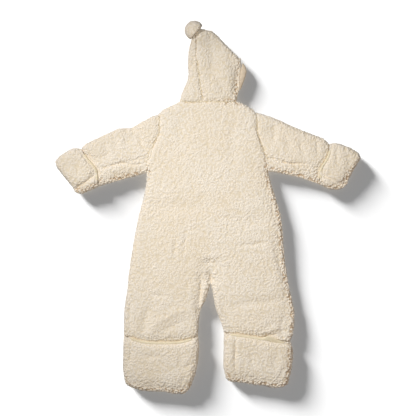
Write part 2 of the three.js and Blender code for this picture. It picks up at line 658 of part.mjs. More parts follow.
function bindingTriangles(flap) {
  const [outer, inner] = [flapRows(flap, 'outer'), flapRows(flap, 'inner')];
  const [from, to] = [TURN_STEPS.length, outer[0].length - TURN_STEPS.length - 1];
  const rows = { outer: [], inner: [] };
  for (let j = from; j <= to; j += 1) {
    const top = outer[0][j];
    const into = outer[1][j].clone().sub(top).setZ(0).normalize();
    const at = (depth, z) => top.clone().addScaledVector(into, depth - CLOTH_START).setZ(z);
    const [below, above] = [inner[0][j].z - SEAM_GAP, top.z + SEAM_GAP];
    const [deepBelow, deepAbove] = [inner[1][j].z - SEAM_GAP, outer[1][j].z + SEAM_GAP];
    const middle = (below + above) / 2;
    rows.inner.push([at(BINDING_DEPTH, deepBelow), at(FOLD.inside, below), at(FOLD.inside, middle),
      at(FOLD.inside, above), at(BINDING_DEPTH, deepAbove)]);
    rows.outer.push([at(BINDING_DEPTH, deepBelow - BINDING), at(FOLD.shoulder, below - BINDING),
      at(FOLD.outside, middle), at(FOLD.shoulder, above + BINDING),
      at(BINDING_DEPTH, deepAbove + BINDING)]);
  }
  return wallTriangles(rows.outer, rows.inner);
}

const flaps = {
  foot_flap_left: { lip: leftFootLip, end: leftFoot, tuck: LEG_TUCK, loft: FOOT_LOFT },
  foot_flap_right: { lip: rightFootLip, end: rightFoot, tuck: LEG_TUCK, loft: FOOT_LOFT },
  mitt_flap_left: { lip: leftSleeve.lip, end: leftMitt, tuck: SLEEVE_TUCK, loft: MITT_LOFT },
  mitt_flap_right: { lip: rightSleeve.lip, end: rightMitt, tuck: SLEEVE_TUCK, loft: MITT_LOFT },
};

function makeFlaps() {
  for (const [name, flap] of Object.entries(flaps)) {
    const wall = wallTriangles(flapRows(flap, 'outer'), flapRows(flap, 'inner'));
    addPiece(name, bodyFrom(wall), 'fleece');
    addPiece(name.replace('flap', 'binding'), bodyFrom(bindingTriangles(flap)), 'cotton');
  }
}

// The palm side of a mitt carries on from the underside of the sleeve
function makePalms() {
  const mitts = { left: [leftSleeve, leftMitt], right: [rightSleeve, rightMitt] };
  for (const [side, [sleeve, mitt]] of Object.entries(mitts)) {
    const patch = patchBetween(sleeve.lip, mitt.tip, mitt.sideA, mitt.sideB);
    const area = { sides: outlineOf(mitt) };
    const heights = { outer: lowerOuter(area), inner: lowerInner(area) };
    const middles = { along: 2, across: 2 };
    const kinds = ['rolled', 'rolled'];
    const from = TUCK_LENGTH + 1.5 * SEAM_GAP; // the sleeve ends at a slight angle to this row
    const faces = Object.entries(heights).map(([face, height]) => (
      patchRows(patch, ['none', 'rolled'], kinds, face, middles, height, from)
    ));
    addPiece(`mitt_palm_${side}`, bodyFrom(wallTriangles(...faces)), 'fleece');
  }
}

// Profiles, made long or wide, and solids that are cut and joined
function shapeOf(points) {
  return new THREE.Shape(points.map(([a, b]) => new THREE.Vector2(a, b)));
}

function alongY(shape, fromY, toY) {
  const geometry = new THREE.ExtrudeGeometry(shape, { depth: toY - fromY, bevelEnabled: false });
  return geometry.rotateX(Math.PI / 2).translate(0, toY, 0);
}

function alongX(shape, fromX, toX) {
  const settings = { depth: toX - fromX, bevelEnabled: false, curveSegments: 8 };
  const turn = new THREE.Matrix4().makeBasis(
    new THREE.Vector3(0, 1, 0), new THREE.Vector3(0, 0, 1), new THREE.Vector3(1, 0, 0),
  );
  return new THREE.ExtrudeGeometry(shape, settings).applyMatrix4(turn).translate(fromX, 0, 0);
}

function solidOf(geometry) {
  geometry.deleteAttribute('normal');
  geometry.deleteAttribute('uv');
  const merged = mergeVertices(geometry, 1e-4);
  return new wasm.Manifold(new wasm.Mesh({
    numProp: 3,
    vertProperties: new Float32Array(merged.attributes.position.array),
    triVerts: new Uint32Array(merged.index.array),
  }));
}

function geometryOf(solid) {
  const mesh = solid.getMesh();
  const geometry = new THREE.BufferGeometry();
  geometry.setAttribute('position', new THREE.BufferAttribute(mesh.vertProperties, 3));
  geometry.setIndex(new THREE.BufferAttribute(mesh.triVerts, 1));
  geometry.computeVertexNormals();
  return geometry;
}

// A sleeve is one piece of cloth, folded along its top edge and sewn along the
// underarm seam, which has rolled on to the upper layer.
function seamDepth(sleeve, along) {
  const next = sleeve.seam.findIndex((stop) => stop.along >= along);
  if (next <= 0) return sleeve.seam[0].in;
  const [a, b] = [sleeve.seam[next - 1], sleeve.seam[next]];
  return lerp(a.in, b.in, (along - a.along) / (b.along - a.along));
}

const ARMHOLE_OVERLAP = 4; // a sleeve is made so much longer, then cut to the armhole

function sleeveParts(half, sleeve, mitt) {
  const shift = -half.sign * ARMHOLE_OVERLAP;
  const longer = (table) => table.map(({ x, y }, k) => ({ x: k ? x : x + shift, y }));
  const [top, bottom] = [longer(sleeve.top), longer(sleeve.bottom)];
  const inside = half.armhole.slice(1, -1).map(({ x, y }) => ({ x: x + shift, y }));
  const arm = patchBetween([top[0], ...inside, bottom[0]], sleeve.lip, top, bottom);
  const hand = patchBetween(sleeve.lip, mitt.tip, mitt.sideA, mitt.sideB);
  const seamLine = [0, 0.15, 0.3, 0.5, 0.7, 0.85, 1].map((along) => {
    const width = arm(0, along).distanceTo(arm(1, along));
    return arm(1 - seamDepth(sleeve, along) / width, along);
  });
  return { arm, hand, top, bottom, seamLine };
}

// What the body leaves of a sleeve: the sleeve ends along the armhole
const CUTTER = { bottom: 50, inside: 50 };

function armholeCutter(half) {
  const levels = bodyRows.map(({ level }) => level).filter((level) => level > CUTTER.bottom);
  const edge = levels.map((level) => [half.sideX(level) + half.sign * SEAM_GAP, level]);
  const inside = half.sign * CUTTER.inside;
  const shape = shapeOf([...edge, [inside, levels.at(-1)], [inside, levels[0]]]);
  const prism = new THREE.ExtrudeGeometry(shape, { depth: 2 * BODY_LOFT, bevelEnabled: false });
  return solidOf(prism.translate(0, 0, -BODY_LOFT / 2));
}

// Rows of a sleeve, in from the armhole and in from its end at the flap
const SLEEVE_STEPS = [0, 4, 11, 30, 52, 74, 96];
const SLEEVE_END_STEPS = [15, 7, 2.6];
const SLEEVE_LOFT_AT_FLAP = 17.5;

function sleeveRows(half, sleeve, mitt, face) {
  const { arm, hand, top, bottom, seamLine } = sleeveParts(half, sleeve, mitt);
  const lipDistance = distanceTo(sleeve.lip);
  const edges = distanceTo(top, bottom);
  const handEdges = distanceTo(mitt.sideA, mitt.sideB);
  const loft = (x, y) => lerp(SLEEVE_LOFT_AT_FLAP, SLEEVE_LOFT, smooth(2.6, 14, lipDistance(x, y)));
  const area = { sides: edges, seams: distanceTo(half.armhole, seamLine), loft };
  const upper = face === 'outer' ? upperOuter(area) : upperInner(area);
  const lowerArea = { sides: edges };
  const lower = face === 'outer' ? lowerOuter(lowerArea) : lowerInner(lowerArea);
  const tuckedUpper = (side) => (x, y) => {
    const start = SEAM_LEVEL + SEAM_GAP / 2;
    if (face === 'inner') return lerp(start, CEILING, smooth(6.5, 9, side));
    const rise = tuckTop(SLEEVE_TUCK.top, lipDistance(x, y)) - SEAM_LEVEL;
    return start + rise * turned(side, SLEEVE_TUCK.roll);
  };
  const tuckedArea = { sides: handEdges };
  const tuckedLower = face === 'outer' ? lowerOuter(tuckedArea) : lowerInner(tuckedArea);

  const ring = (pointAt, along, isTucked) => {
    const width = pointAt(0).distanceTo(pointAt(1));
    const seam = width - seamDepth(sleeve, along);
    const inset = isTucked ? SLEEVE_TUCK.inset : 0;
    const at = (step, height) => {
      const point = pointAt(step / width);
      return new THREE.Vector3(point.x, point.y, height(point.x, point.y));
    };
    const main = stepsAcross(seam - inset - SEAM_GAP / 2, ['rolled', 'sewn'], face, 2)
      .map((step) => at(inset + step, isTucked ? tuckedUpper(step) : upper)).reverse();
    const under = stepsAcross(width, ['rolled', 'rolled'], face, 2)
      .map((step) => at(step, isTucked ? tuckedLower : lower));
    const band = stepsAcross(width - seam - inset - SEAM_GAP / 2, ['rolled', 'sewn'], face, 0)
      .map((step) => at(width - inset - step, isTucked ? tuckedUpper(step) : upper));
    return [...main, ...under, ...band];
  };

  const length = arm(0.5, 0).distanceTo(arm(0.5, 1));
  const last = length - SLEEVE_END_STEPS[0];
  const near = SLEEVE_STEPS.filter((step) => step < last - 9);
  const steps = [...near, ...SLEEVE_END_STEPS.map((step) => length - step)];
  const rows = steps.map((step) => ring((share) => arm(share, step / length), step / length, false));
  const handLength = hand(0.5, 0).distanceTo(hand(0.5, 1));
  for (const beyond of [0, TUCK_LENGTH / 2, TUCK_LENGTH]) {
    rows.push(ring((share) => hand(share, beyond / handLength), 1, true));
  }
  return rows;
}

function makeSleeves() {
  const sets = { left: [leftSleeve, leftMitt], right: [rightSleeve, rightMitt] };
  for (const [side, [sleeve, mitt]] of Object.entries(sets)) {
    const half = halves[side];
    const [outer, inner] = ['outer', 'inner'].map((face) => sleeveRows(half, sleeve, mitt, face));
    const whole = solidOf(bodyFrom(wallTriangles(outer, inner)));
    addPiece(`sleeve_${side}`, geometryOf(whole.subtract(armholeCutter(half))), 'fleece');
  }
}

// The hood is folded along its left side. The left panel lies underneath and
// turns up over that side to the back seam; the right panel lies on it.
const HOOD_STEPS = [0, 0.02, 0.06, 0.14, 0.24, 0.34, 0.45, 0.56, 0.67, 0.78, 0.88, 0.95, 1];
const HOOD_NECK = NECK + 0.4;

function hoodPatches() {
  const shifted = (table, by) => table.map(({ x, y }) => ({ x: x + by, y }));
  const seamLeft = shifted(hoodSeam, -SEAM_GAP / 2);
  const seamRight = shifted(hoodSeam, SEAM_GAP / 2);
  const patch = (a, b) => patchBetween([a.at(0), b.at(0)], [a.at(-1), b.at(-1)], a, b);
  return {
    whole: patch(hoodLeft, hoodRight),
    left: patch(hoodLeft, seamLeft),
    right: patch(seamRight, hoodRight),
  };
}

function hoodArea() {
  const neck = [{ x: -64, y: HOOD_NECK }, { x: 64, y: HOOD_NECK }];
  const seams = distanceTo(neck, hoodSeam);
  return { sides: distanceTo(hoodLeft, hoodRight), seams, loft: () => HOOD_LOFT };
}

function hoodLeftRows(face) {
  const { whole, left } = hoodPatches();
  const area = hoodArea();
  const upper = face === 'outer' ? upperOuter(area) : upperInner(area);
  const lower = face === 'outer' ? lowerOuter(area) : lowerInner(area);
  return HOOD_STEPS.map((along) => {
    const fade = Math.max(0, 1 - along / 0.2);
    const dropped = (share) => {
      const point = whole(share, along);
      point.y -= fade * neckDrop(point.x);
      return point;
    };
    const under = raise(rowFrom(dropped, ['rolled', 'rolled'], face, 3, 1), lower).reverse();
    const over = raise(rowFrom((share) => left(share, along), ['rolled', 'sewn'], face, 0, 1), upper);
    return [...under, ...over];
  });
}

function hoodRightRows(face) {
  const { right } = hoodPatches();
  const area = hoodArea();
  const height = face === 'outer' ? upperOuter(area) : upperInner(area);
  return HOOD_STEPS.map((along) => (
    raise(rowFrom((share) => right(share, along), ['sewn', 'rolled'], face, 4, 1), height)
  ));
}

function makeHood() {
  const panels = { hood_left: hoodLeftRows, hood_right: hoodRightRows };
  for (const [name, rows] of Object.entries(panels)) {
    addPiece(name, bodyFrom(wallTriangles(rows('outer'), rows('inner'))), 'fleece');
  }
}

// The smooth facing of the hood's face edge, one piece on each panel
const FACING_LOFT = 17;
const FACING_ROWS = [0, 0.14, 0.32, 0.5, 0.68, 0.86, 1];

function makeFacings() {
  const { inner, outer } = faceFacing;
  const patch = patchBetween([inner[0], outer[0]], [inner.at(-1), outer.at(-1)], inner, outer);
  const area = { sides: distanceTo(outer), loft: () => FACING_LOFT };
  const sets = {
    hood_facing_right: [upperOuter(area), upperInner(area)],
    hood_facing_left: [lowerOuter(area), lowerInner(area)],
  };
  for (const [name, heights] of Object.entries(sets)) {
    const faces = ['outer', 'inner'].map((face, k) => FACING_ROWS.map((along) => {
      const pointAt = (share) => patch(share, along);
      return raise(rowFrom(pointAt, ['sewn', 'rolled'], face, 0, 1), heights[k]);
    }));
    addPiece(name, bodyFrom(wallTriangles(...faces)), 'cotton');
  }
}

// A stuffed ball of the same fleece, pressed flat below and gathered at the hood
const BOBBLE_DETAIL = 5;
const BOBBLE_BUMPS = { height: 0.7, around: 7, along: 6 };

function makeBobble() {
  const ball = new THREE.IcosahedronGeometry(BOBBLE.radius, BOBBLE_DETAIL);
  ball.deleteAttribute('normal');
  ball.deleteAttribute('uv');
  const merged = mergeVertices(ball, 1e-3);
  const place = merged.attributes.position;
  const point = new THREE.Vector3();
  for (let k = 0; k < place.count; k += 1) {
    point.fromBufferAttribute(place, k);
    const [turn, lift] = [Math.atan2(point.y, point.x), Math.asin(point.z / BOBBLE.radius)];
    const { height, around, along } = BOBBLE_BUMPS;
    const bump = height * Math.sin(around * turn) * Math.cos(lift) * Math.sin(along * lift);
    point.multiplyScalar(1 + bump / BOBBLE.radius);
    const towards = point.x * TO_HOOD.x + point.y * TO_HOOD.y - BOBBLE.toHood;
    if (towards > 0) {
      point.x -= towards * TO_HOOD.x;
      point.y -= towards * TO_HOOD.y;
    }
    point.z = Math.max(point.z, -BOBBLE.z);
    place.setXYZ(k, point.x + BOBBLE.x, point.y + BOBBLE.y, point.z + BOBBLE.z);
  }
  merged.computeVertexNormals();
  addPiece('bobble', merged, 'fleece');
}

// The zip, closed, with its slider at the neck
function makeTapes() {
  const inside = SEAM_GAP / 2;
  const edge = ZIP_RECESS - SEAM_GAP;
  const [low, top, coil] = [TAPE_LEVEL, TAPE_LEVEL + TAPE, TAPE_LEVEL - COIL_DEPTH];
  for (const [name, sign] of [['zip_tape_left', -1], ['zip_tape_right', 1]]) {
    const at = (away) => ZIP_X + sign * away;
    const profile = [[at(inside), coil], [at(inside), top], [at(edge), top], [at(edge), low],
      [at(inside + COIL_WIDTH), low], [at(inside + COIL_WIDTH), coil]];
    addPiece(name, geometryOf(solidOf(alongY(shapeOf(profile), ZIP_BOTTOM, ZIP_TOP))), 'tape');
  }
}

const BRIDGE_ROOT = 0.4; // how deep the bridge goes into the slider's plate

function makeSlider() {
  const { width, length, plate, post, clear } = SLIDER;
  const under = TAPE_LEVEL - COIL_DEPTH - clear;
  const over = TAPE_LEVEL + TAPE + clear;
  const front = ZIP_TOP + clear + post;
  const back = front - length;
  const slot = ZIP_TOP + clear;
  const clip = shapeOf([[back, under - plate], [front, under - plate], [front, over + plate],
    [back, over + plate], [back, over], [slot, over], [slot, under], [back, under]]);
  const { y, z } = PULL_AXIS;
  const reach = PULL.hole + PULL.arch;
  const bridge = new THREE.Shape();
  bridge.moveTo(y - reach, under - plate + BRIDGE_ROOT);
  bridge.lineTo(y - reach, z);
  bridge.absarc(y, z, reach, Math.PI, 2 * Math.PI, false);
  bridge.lineTo(y + reach, under - plate + BRIDGE_ROOT);
  const hole = new THREE.Path();
  hole.absarc(y, z, PULL.hole, 0, 2 * Math.PI, true);
  bridge.holes.push(hole);
  const body = solidOf(alongX(clip, ZIP_X - width / 2, ZIP_X + width / 2));
  const loop = solidOf(alongX(bridge, ZIP_X - BRIDGE_WIDTH / 2, ZIP_X + BRIDGE_WIDTH / 2));
  addPiece('zip_slider', geometryOf(body.add(loop)), 'metal');
}

function makePull() {
  const { y, z } = PULL_AXIS;
  const { width, length, thick, pin, eye, join, clear } = PULL;
  const half = thick / 2;
  const round = (radius) => {
    const shape = new THREE.Shape();
    shape.absarc(y, z, radius, 0, 2 * Math.PI, false);
    return shape;
  };
  const bar = (from, to) => shapeOf([
    [y - to, z - half], [y - from, z - half], [y - from, z + half], [y - to, z + half],
  ]);
  const armInside = BRIDGE_WIDTH / 2 + clear;
  let pull = solidOf(alongX(round(pin), ZIP_X - eye + join, ZIP_X + eye - join));
  pull = pull.add(solidOf(alongX(bar(eye, length), ZIP_X - width / 2, ZIP_X + width / 2)));
  for (const sign of [-1, 1]) {
    const [from, to] = [ZIP_X + sign * armInside, ZIP_X + sign * eye].sort((a, b) => a - b);
    pull = pull.add(solidOf(alongX(bar(0, eye + 4 * join), from, to)));
    pull = pull.add(solidOf(alongX(round(pin + PULL.arm), from, to)));
  }
  addPiece('zip_pull', geometryOf(pull), 'metal');
}

makeBack();
makeFronts();
makeSleeves();
makePalms();
makeFlaps();
makeHood();
makeFacings();
makeBobble();
makeTapes();
makeSlider();
makePull();

// The origin lies on the surface, under the middle of the laid-out garment
suit.updateMatrixWorld(true);
const middle = new THREE.Box3().setFromObject(suit).getCenter(new THREE.Vector3());
suit.position.set(-middle.x, -middle.y, 0);
suit.updateMatrixWorld(true);

export default suit;
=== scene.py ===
# %% [markdown]
# # A baby's snowsuit of curly fleece
# The suit lies face down on a pale surface. Its pieces are cut, sewn and sized in the CAD
# model, which this script loads as a fixed frame. What is made here is the look of the
# cloth: the curls of the pile, the soft creases, the cotton bindings with their stitches,
# and the teeth of the zip underneath.

# %% Load the frame
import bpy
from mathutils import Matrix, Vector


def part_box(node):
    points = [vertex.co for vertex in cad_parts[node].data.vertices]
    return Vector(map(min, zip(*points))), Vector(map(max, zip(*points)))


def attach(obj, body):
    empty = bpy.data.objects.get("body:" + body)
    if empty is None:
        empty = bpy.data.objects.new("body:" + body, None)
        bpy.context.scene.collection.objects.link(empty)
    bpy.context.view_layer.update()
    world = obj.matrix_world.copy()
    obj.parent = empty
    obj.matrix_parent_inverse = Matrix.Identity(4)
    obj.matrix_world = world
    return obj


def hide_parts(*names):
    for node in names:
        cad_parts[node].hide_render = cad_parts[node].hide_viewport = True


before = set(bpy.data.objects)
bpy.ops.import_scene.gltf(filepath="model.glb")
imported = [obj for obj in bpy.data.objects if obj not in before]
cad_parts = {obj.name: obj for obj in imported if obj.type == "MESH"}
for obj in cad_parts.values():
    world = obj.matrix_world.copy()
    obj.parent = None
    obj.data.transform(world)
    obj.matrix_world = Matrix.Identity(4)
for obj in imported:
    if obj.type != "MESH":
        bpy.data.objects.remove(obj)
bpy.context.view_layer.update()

import math
from collections import namedtuple

import bmesh
import bpy
import numpy as np
from mathutils import Matrix, Vector
from mathutils.bvhtree import BVHTree

MM = 0.001

# %% [markdown]
# ## The camera
# The suit is seen from straight above. A long lens from far away keeps its outline true,
# as if it had no perspective. The frame's width is measured at the height of the side
# seams, because the outline of the suit lies there.

# %% Camera
PICTURE_WIDTH = 0.9152
PICTURE_MIDDLE = Vector((0.0003, -0.0011, 0.010))
LENS = 110
SENSOR = 36

camera = bpy.data.objects.new("camera", bpy.data.cameras.new("camera"))
bpy.context.scene.collection.objects.link(camera)
camera.data.lens = LENS
camera.data.sensor_width = SENSOR
camera.location = PICTURE_MIDDLE + Vector((0, 0, PICTURE_WIDTH * LENS / SENSOR))
bpy.context.scene.camera = camera
print("camera height in m:", round(camera.location.z, 3))

# %% [markdown]
# ## Node trees written as sums
# A material is a graph of nodes. Writing each link by hand hides the idea, so a small
# class wraps one output of a node. Adding or multiplying two such flows adds the Math
# node that does it, and the formula can be read in the code. The same class serves the
# shader trees and the Geometry Nodes trees.

# %% Flows and graphs
class Flow:
    """One output of a node. Python's operators on it add Math nodes."""

    def __init__(self, graph, socket):
        self.graph = graph
        self.socket = socket

    def maths(self, operation, *values):
        return self.graph.node("ShaderNodeMath", {"operation": operation}, dict(enumerate(values)))

    def __add__(self, other):
        return self.maths("ADD", self, other)

    def __radd__(self, other):
        return self.maths("ADD", other, self)

    def __sub__(self, other):
        return self.maths("SUBTRACT", self, other)

    def __rsub__(self, other):
        return self.maths("SUBTRACT", other, self)

    def __mul__(self, other):
        return self.maths("MULTIPLY", self, other)

    def __rmul__(self, other):
        return self.maths("MULTIPLY", other, self)

    def __rtruediv__(self, other):
        return self.maths("DIVIDE", other, self)


class Graph:
    """A node tree that is filled by node()."""

    def __init__(self, tree):
        self.tree = tree

    def node(self, kind, settings=None, inputs=None, output=0):
        node = self.tree.nodes.new(kind)
        for name, value in (settings or {}).items():
            setattr(node, name, value)
        for key, value in (inputs or {}).items():
            if isinstance(value, Flow):
                self.tree.links.new(value.socket, node.inputs[key])
            else:
                node.inputs[key].default_value = value
        return Flow(self, node.outputs[output])

    def step(self, value, low, high):
        """0 below low, 1 above high and a soft change between them."""
        inputs = {"Value": value, "From Min": low, "From Max": high}
        return self.node("ShaderNodeMapRange", {"interpolation_type": "SMOOTHSTEP"}, inputs)

    def colours(self, share, first, second):
        inputs = {"Factor": share, 6: (*first, 1) if isinstance(first, tuple) else first,
                  7: (*second, 1) if isinstance(second, tuple) else second}
        return self.node("ShaderNodeMix", {"data_type": "RGBA"}, inputs, output=2)

    def noise(self, place, size, detail=2, distortion=0):
        inputs = {"Vector": place, "Scale": 1 / size, "Detail": detail, "Distortion": distortion}
        return self.node("ShaderNodeTexNoise", None, inputs)


# %% A material and its main shader
def new_material(name, **fixed):
    """A material, its graph, and a function that links what changes over the surface."""
    material = bpy.data.materials.new(name)
    material.use_nodes = True
    graph = Graph(material.node_tree)
    shader = material.node_tree.nodes["Principled BSDF"]
    for socket, value in fixed.items():
        shader.inputs[socket.replace("_", " ")].default_value = value

    def link(socket, flow):
        material.node_tree.links.new(flow.socket, shader.inputs[socket])

    return material, graph, link


# %% [markdown]
# ## The fleece's finish
# Curly fleece is ivory at the tips of its curls. Between them the colour is painted shade:
# a warmer, darker cream where a curl is low and at the rims of small knots, and a deep
# brown low in the pile on the slopes that fall away to the lower and right edges. The
# height of each curl is stored on the mesh when the curls are made, so the painted shade
# follows them exactly. Broad clouds of a yellower and a pinker cream break the evenness,
# and a fine bump stands for single fibres.

# %% Fleece
IVORY = (0.95, 0.865, 0.745)
CREAM = (0.94, 0.835, 0.69)
# Painted shade: the darker cream that stands for the shade between the curls.
PAINTED_SHADE_BETWEEN_CURLS = (0.80, 0.66, 0.43)
# Painted shade: a deep brown for the low places of the pile on the slopes that fall away to the lower and
# right edges.
PAINTED_DEEP_SHADE = (0.50, 0.31, 0.16)

def make_fleece():
    material, graph, link = new_material(
        "curly fleece", Roughness=0.95, Specular_IOR_Level=0.15, Sheen_Weight=0.25,
        Sheen_Roughness=0.6,
    )
    place = graph.node("ShaderNodeTexCoord", output="Object")
    curl = graph.node("ShaderNodeAttribute", {"attribute_name": "curl"}, output="Fac")
    clouds = graph.step(graph.noise(place, 0.07), 0.35, 0.65)
    fibres = graph.noise(place, 0.0022, detail=3, distortion=1.5)
    knots = graph.node("ShaderNodeTexVoronoi", None, {"Vector": place, "Scale": 1 / 0.0030})
    top = graph.colours(clouds * 0.7 + fibres * 0.3, CREAM, IVORY)
    # Painted shade: the colour darkens where a curl is low and at the rims of the small knots.
    shade = (1 - graph.step(curl, 0.04, 0.4)) * 0.45 + graph.step(knots, 0.45, 0.8) * 0.2
    outside = graph.node("ShaderNodeAttribute", {"attribute_name": "outside"}, output="Fac")
    # Painted shade in deep brown between the curls where the stored share of the pile is high, as on the
    # slopes that fall away to the lower and right edges.
    painted_slope_shade = graph.step(outside, 0.95, 1.45) * (1 - graph.step(curl, 0.04, 0.40)) * 0.7
    link("Base Color", graph.colours(painted_slope_shade, graph.colours(shade, top, PAINTED_SHADE_BETWEEN_CURLS), PAINTED_DEEP_SHADE))
    height = fibres * 0.5 - knots * 0.6
    bump = graph.node("ShaderNodeBump", None, {"Height": height, "Strength": 0.9, "Distance": 0.0012},
                      output="Normal")
    link("Normal", bump)
    return material

fleece = make_fleece()
print("material:", fleece.name)

# %% [markdown]
# ## Cotton and zip tape
# The bindings and the hood's facing are smooth, tightly woven cotton. At this size the
# weave shows only as a fine grain, so two crossed waves give it to the bump alone.

# %% Cotton, tape and thread
BUTTER = (0.92, 0.82, 0.60)
PEACH = (0.88, 0.73, 0.55)
TAPE_CREAM = (0.82, 0.72, 0.56)

def make_woven(name, colour, worn, thread_width):
    material, graph, link = new_material(name, Roughness=0.85, Specular_IOR_Level=0.25)
    place = graph.node("ShaderNodeTexCoord", output="Object")
    waves = [
        graph.node("ShaderNodeTexWave", {"bands_direction": way},
                   {"Vector": place, "Scale": 0.31 / thread_width, "Distortion": 0.6}, output="Fac")
        for way in ("X", "Y")
    ]
    clouds = graph.noise(place, 0.02, detail=4)
    link("Base Color", graph.colours(graph.step(clouds, 0.4, 0.7), colour, worn))
    bump = graph.node("ShaderNodeBump", None,
                      {"Height": waves[0] * waves[1], "Strength": 0.35, "Distance": 0.0002},
                      output="Normal")
    link("Normal", bump)
    return material

cotton = make_woven("binding cotton", BUTTER, (0.87, 0.75, 0.53), 0.0005)
facing_cotton = make_woven("facing cotton", PEACH, (0.82, 0.66, 0.48), 0.0005)
tape_cloth = make_woven("zip tape", TAPE_CREAM, (0.76, 0.66, 0.50), 0.0004)

# %% Zip metal and teeth
def make_metal():
    material, graph, link = new_material("zip metal", Metallic=1.0)
    place = graph.node("ShaderNodeTexCoord", output="Object")
    stretched = graph.node("ShaderNodeMapping", None, {"Vector": place, "Scale": (4000, 250, 4000)})
    brushed = graph.noise(stretched, 1.0, detail=3)
    link("Base Color", graph.colours(brushed, (0.50, 0.48, 0.45), (0.66, 0.64, 0.60)))
    link("Roughness", 0.28 + brushed * 0.2)
    return material

def make_coil():
    material, graph, link = new_material("zip coil", Specular_IOR_Level=0.5)
    place = graph.node("ShaderNodeTexCoord", output="Object")
    grain = graph.noise(place, 0.004)
    link("Base Color", graph.colours(grain, (0.80, 0.70, 0.54), (0.88, 0.79, 0.64)))
    link("Roughness", 0.3 + grain * 0.15)
    return material

metal = make_metal()
coil = make_coil()
print("materials:", len(bpy.data.materials))

# %% [markdown]
# ## From a CAD wall to cloth
# A CAD piece of cloth has the right place and thickness, but its faces are long and flat.
# Its mesh is copied, merged and remeshed into small even squares, then smoothed. The
# edges that are cut in the CAD model round off and leave soft grooves at the seams. The
# broad top is smoothed once more in height only, so its outline stays where it is.

# %% Meshes as arrays, and modifiers made real
def values_of(mesh, what):
    values = np.empty(len(mesh.vertices) * 3, np.float32)
    mesh.vertices.foreach_get(what, values)
    return values.reshape(-1, 3)

def new_piece(name, mesh):
    piece = bpy.data.objects.new(name, mesh)
    bpy.context.scene.collection.objects.link(piece)
    return piece

def apply_all(piece):
    """The piece's mesh with its modifiers, as a plain mesh again."""
    graph = bpy.context.evaluated_depsgraph_get()
    mesh = bpy.data.meshes.new_from_object(
        piece.evaluated_get(graph), preserve_all_data_layers=True, depsgraph=graph)
    piece.modifiers.clear()
    piece.data = mesh

def modify(piece, kind, **settings):
    modifier = piece.modifiers.new(kind.title(), kind)
    for name, value in settings.items():
        setattr(modifier, name, value)
    apply_all(piece)

def set_group(piece, name, members):
    group = piece.vertex_groups.new(name=name)
    group.add(np.flatnonzero(members).tolist(), 1.0, "REPLACE")

def merged_copy(node, name):
    """A CAD node's mesh as a new piece, its loose triangles merged."""
    shape = bmesh.new()
    shape.from_mesh(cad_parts[node].data)
    bmesh.ops.remove_doubles(shape, verts=shape.verts, dist=0.01 * MM)
    mesh = bpy.data.meshes.new(name)
    shape.to_mesh(mesh)
    shape.free()
    return new_piece(name, mesh)

# %% The wall as soft cloth
TOP_SMOOTHING = 80
UPPER_INSIDE = 8.5 * MM
LOWER_INSIDE = 10.3 * MM
SPREAD = 1.6 * MM

def inside_of(places, normals):
    """Inside looks down in the upper layer and up in the lower one."""
    upper = (normals[:, 2] < -0.4) & (places[:, 2] > UPPER_INSIDE)
    lower = (normals[:, 2] > 0.4) & (places[:, 2] < LOWER_INSIDE)
    return upper | lower

def spread_layers(piece):
    """Moves the two inner faces of a flat tube apart, so that a remesh keeps both."""
    places, normals = values_of(piece.data, "co"), values_of(piece.data, "normal")
    places[:, 2] -= SPREAD * inside_of(places, normals) * np.sign(normals[:, 2])
    piece.data.vertices.foreach_set("co", places.ravel())
    piece.data.update()

def soft_wall(node, spacing, rounding=5, tube=False):
    """A copy of a CAD node in even squares, its edges and facets smoothed."""
    piece = merged_copy(node, f"{node}_cloth")
    if tube:
        spread_layers(piece)
    modify(piece, "REMESH", mode="VOXEL", voxel_size=spacing, use_smooth_shade=True)
    modify(piece, "SMOOTH", factor=0.5, iterations=rounding)
    set_group(piece, "top", values_of(piece.data, "normal")[:, 2] > 0.8)
    modify(piece, "SMOOTH", factor=0.5, iterations=TOP_SMOOTHING, use_x=False, use_y=False,
           vertex_group="top")
    return piece

# %% [markdown]
# ## Creases
# A crease is a path on the cloth with a width and a depth. Its depth fades at both ends,
# and its path sways a little, because thick fleece never folds along a ruler. Hollows
# have a negative depth, ridges a positive one. The paths are in millimetres from the
# middle of the picture, placed where the cloth shows them.

# %% The upper side's creases
Crease = namedtuple("Crease", "path width depth")

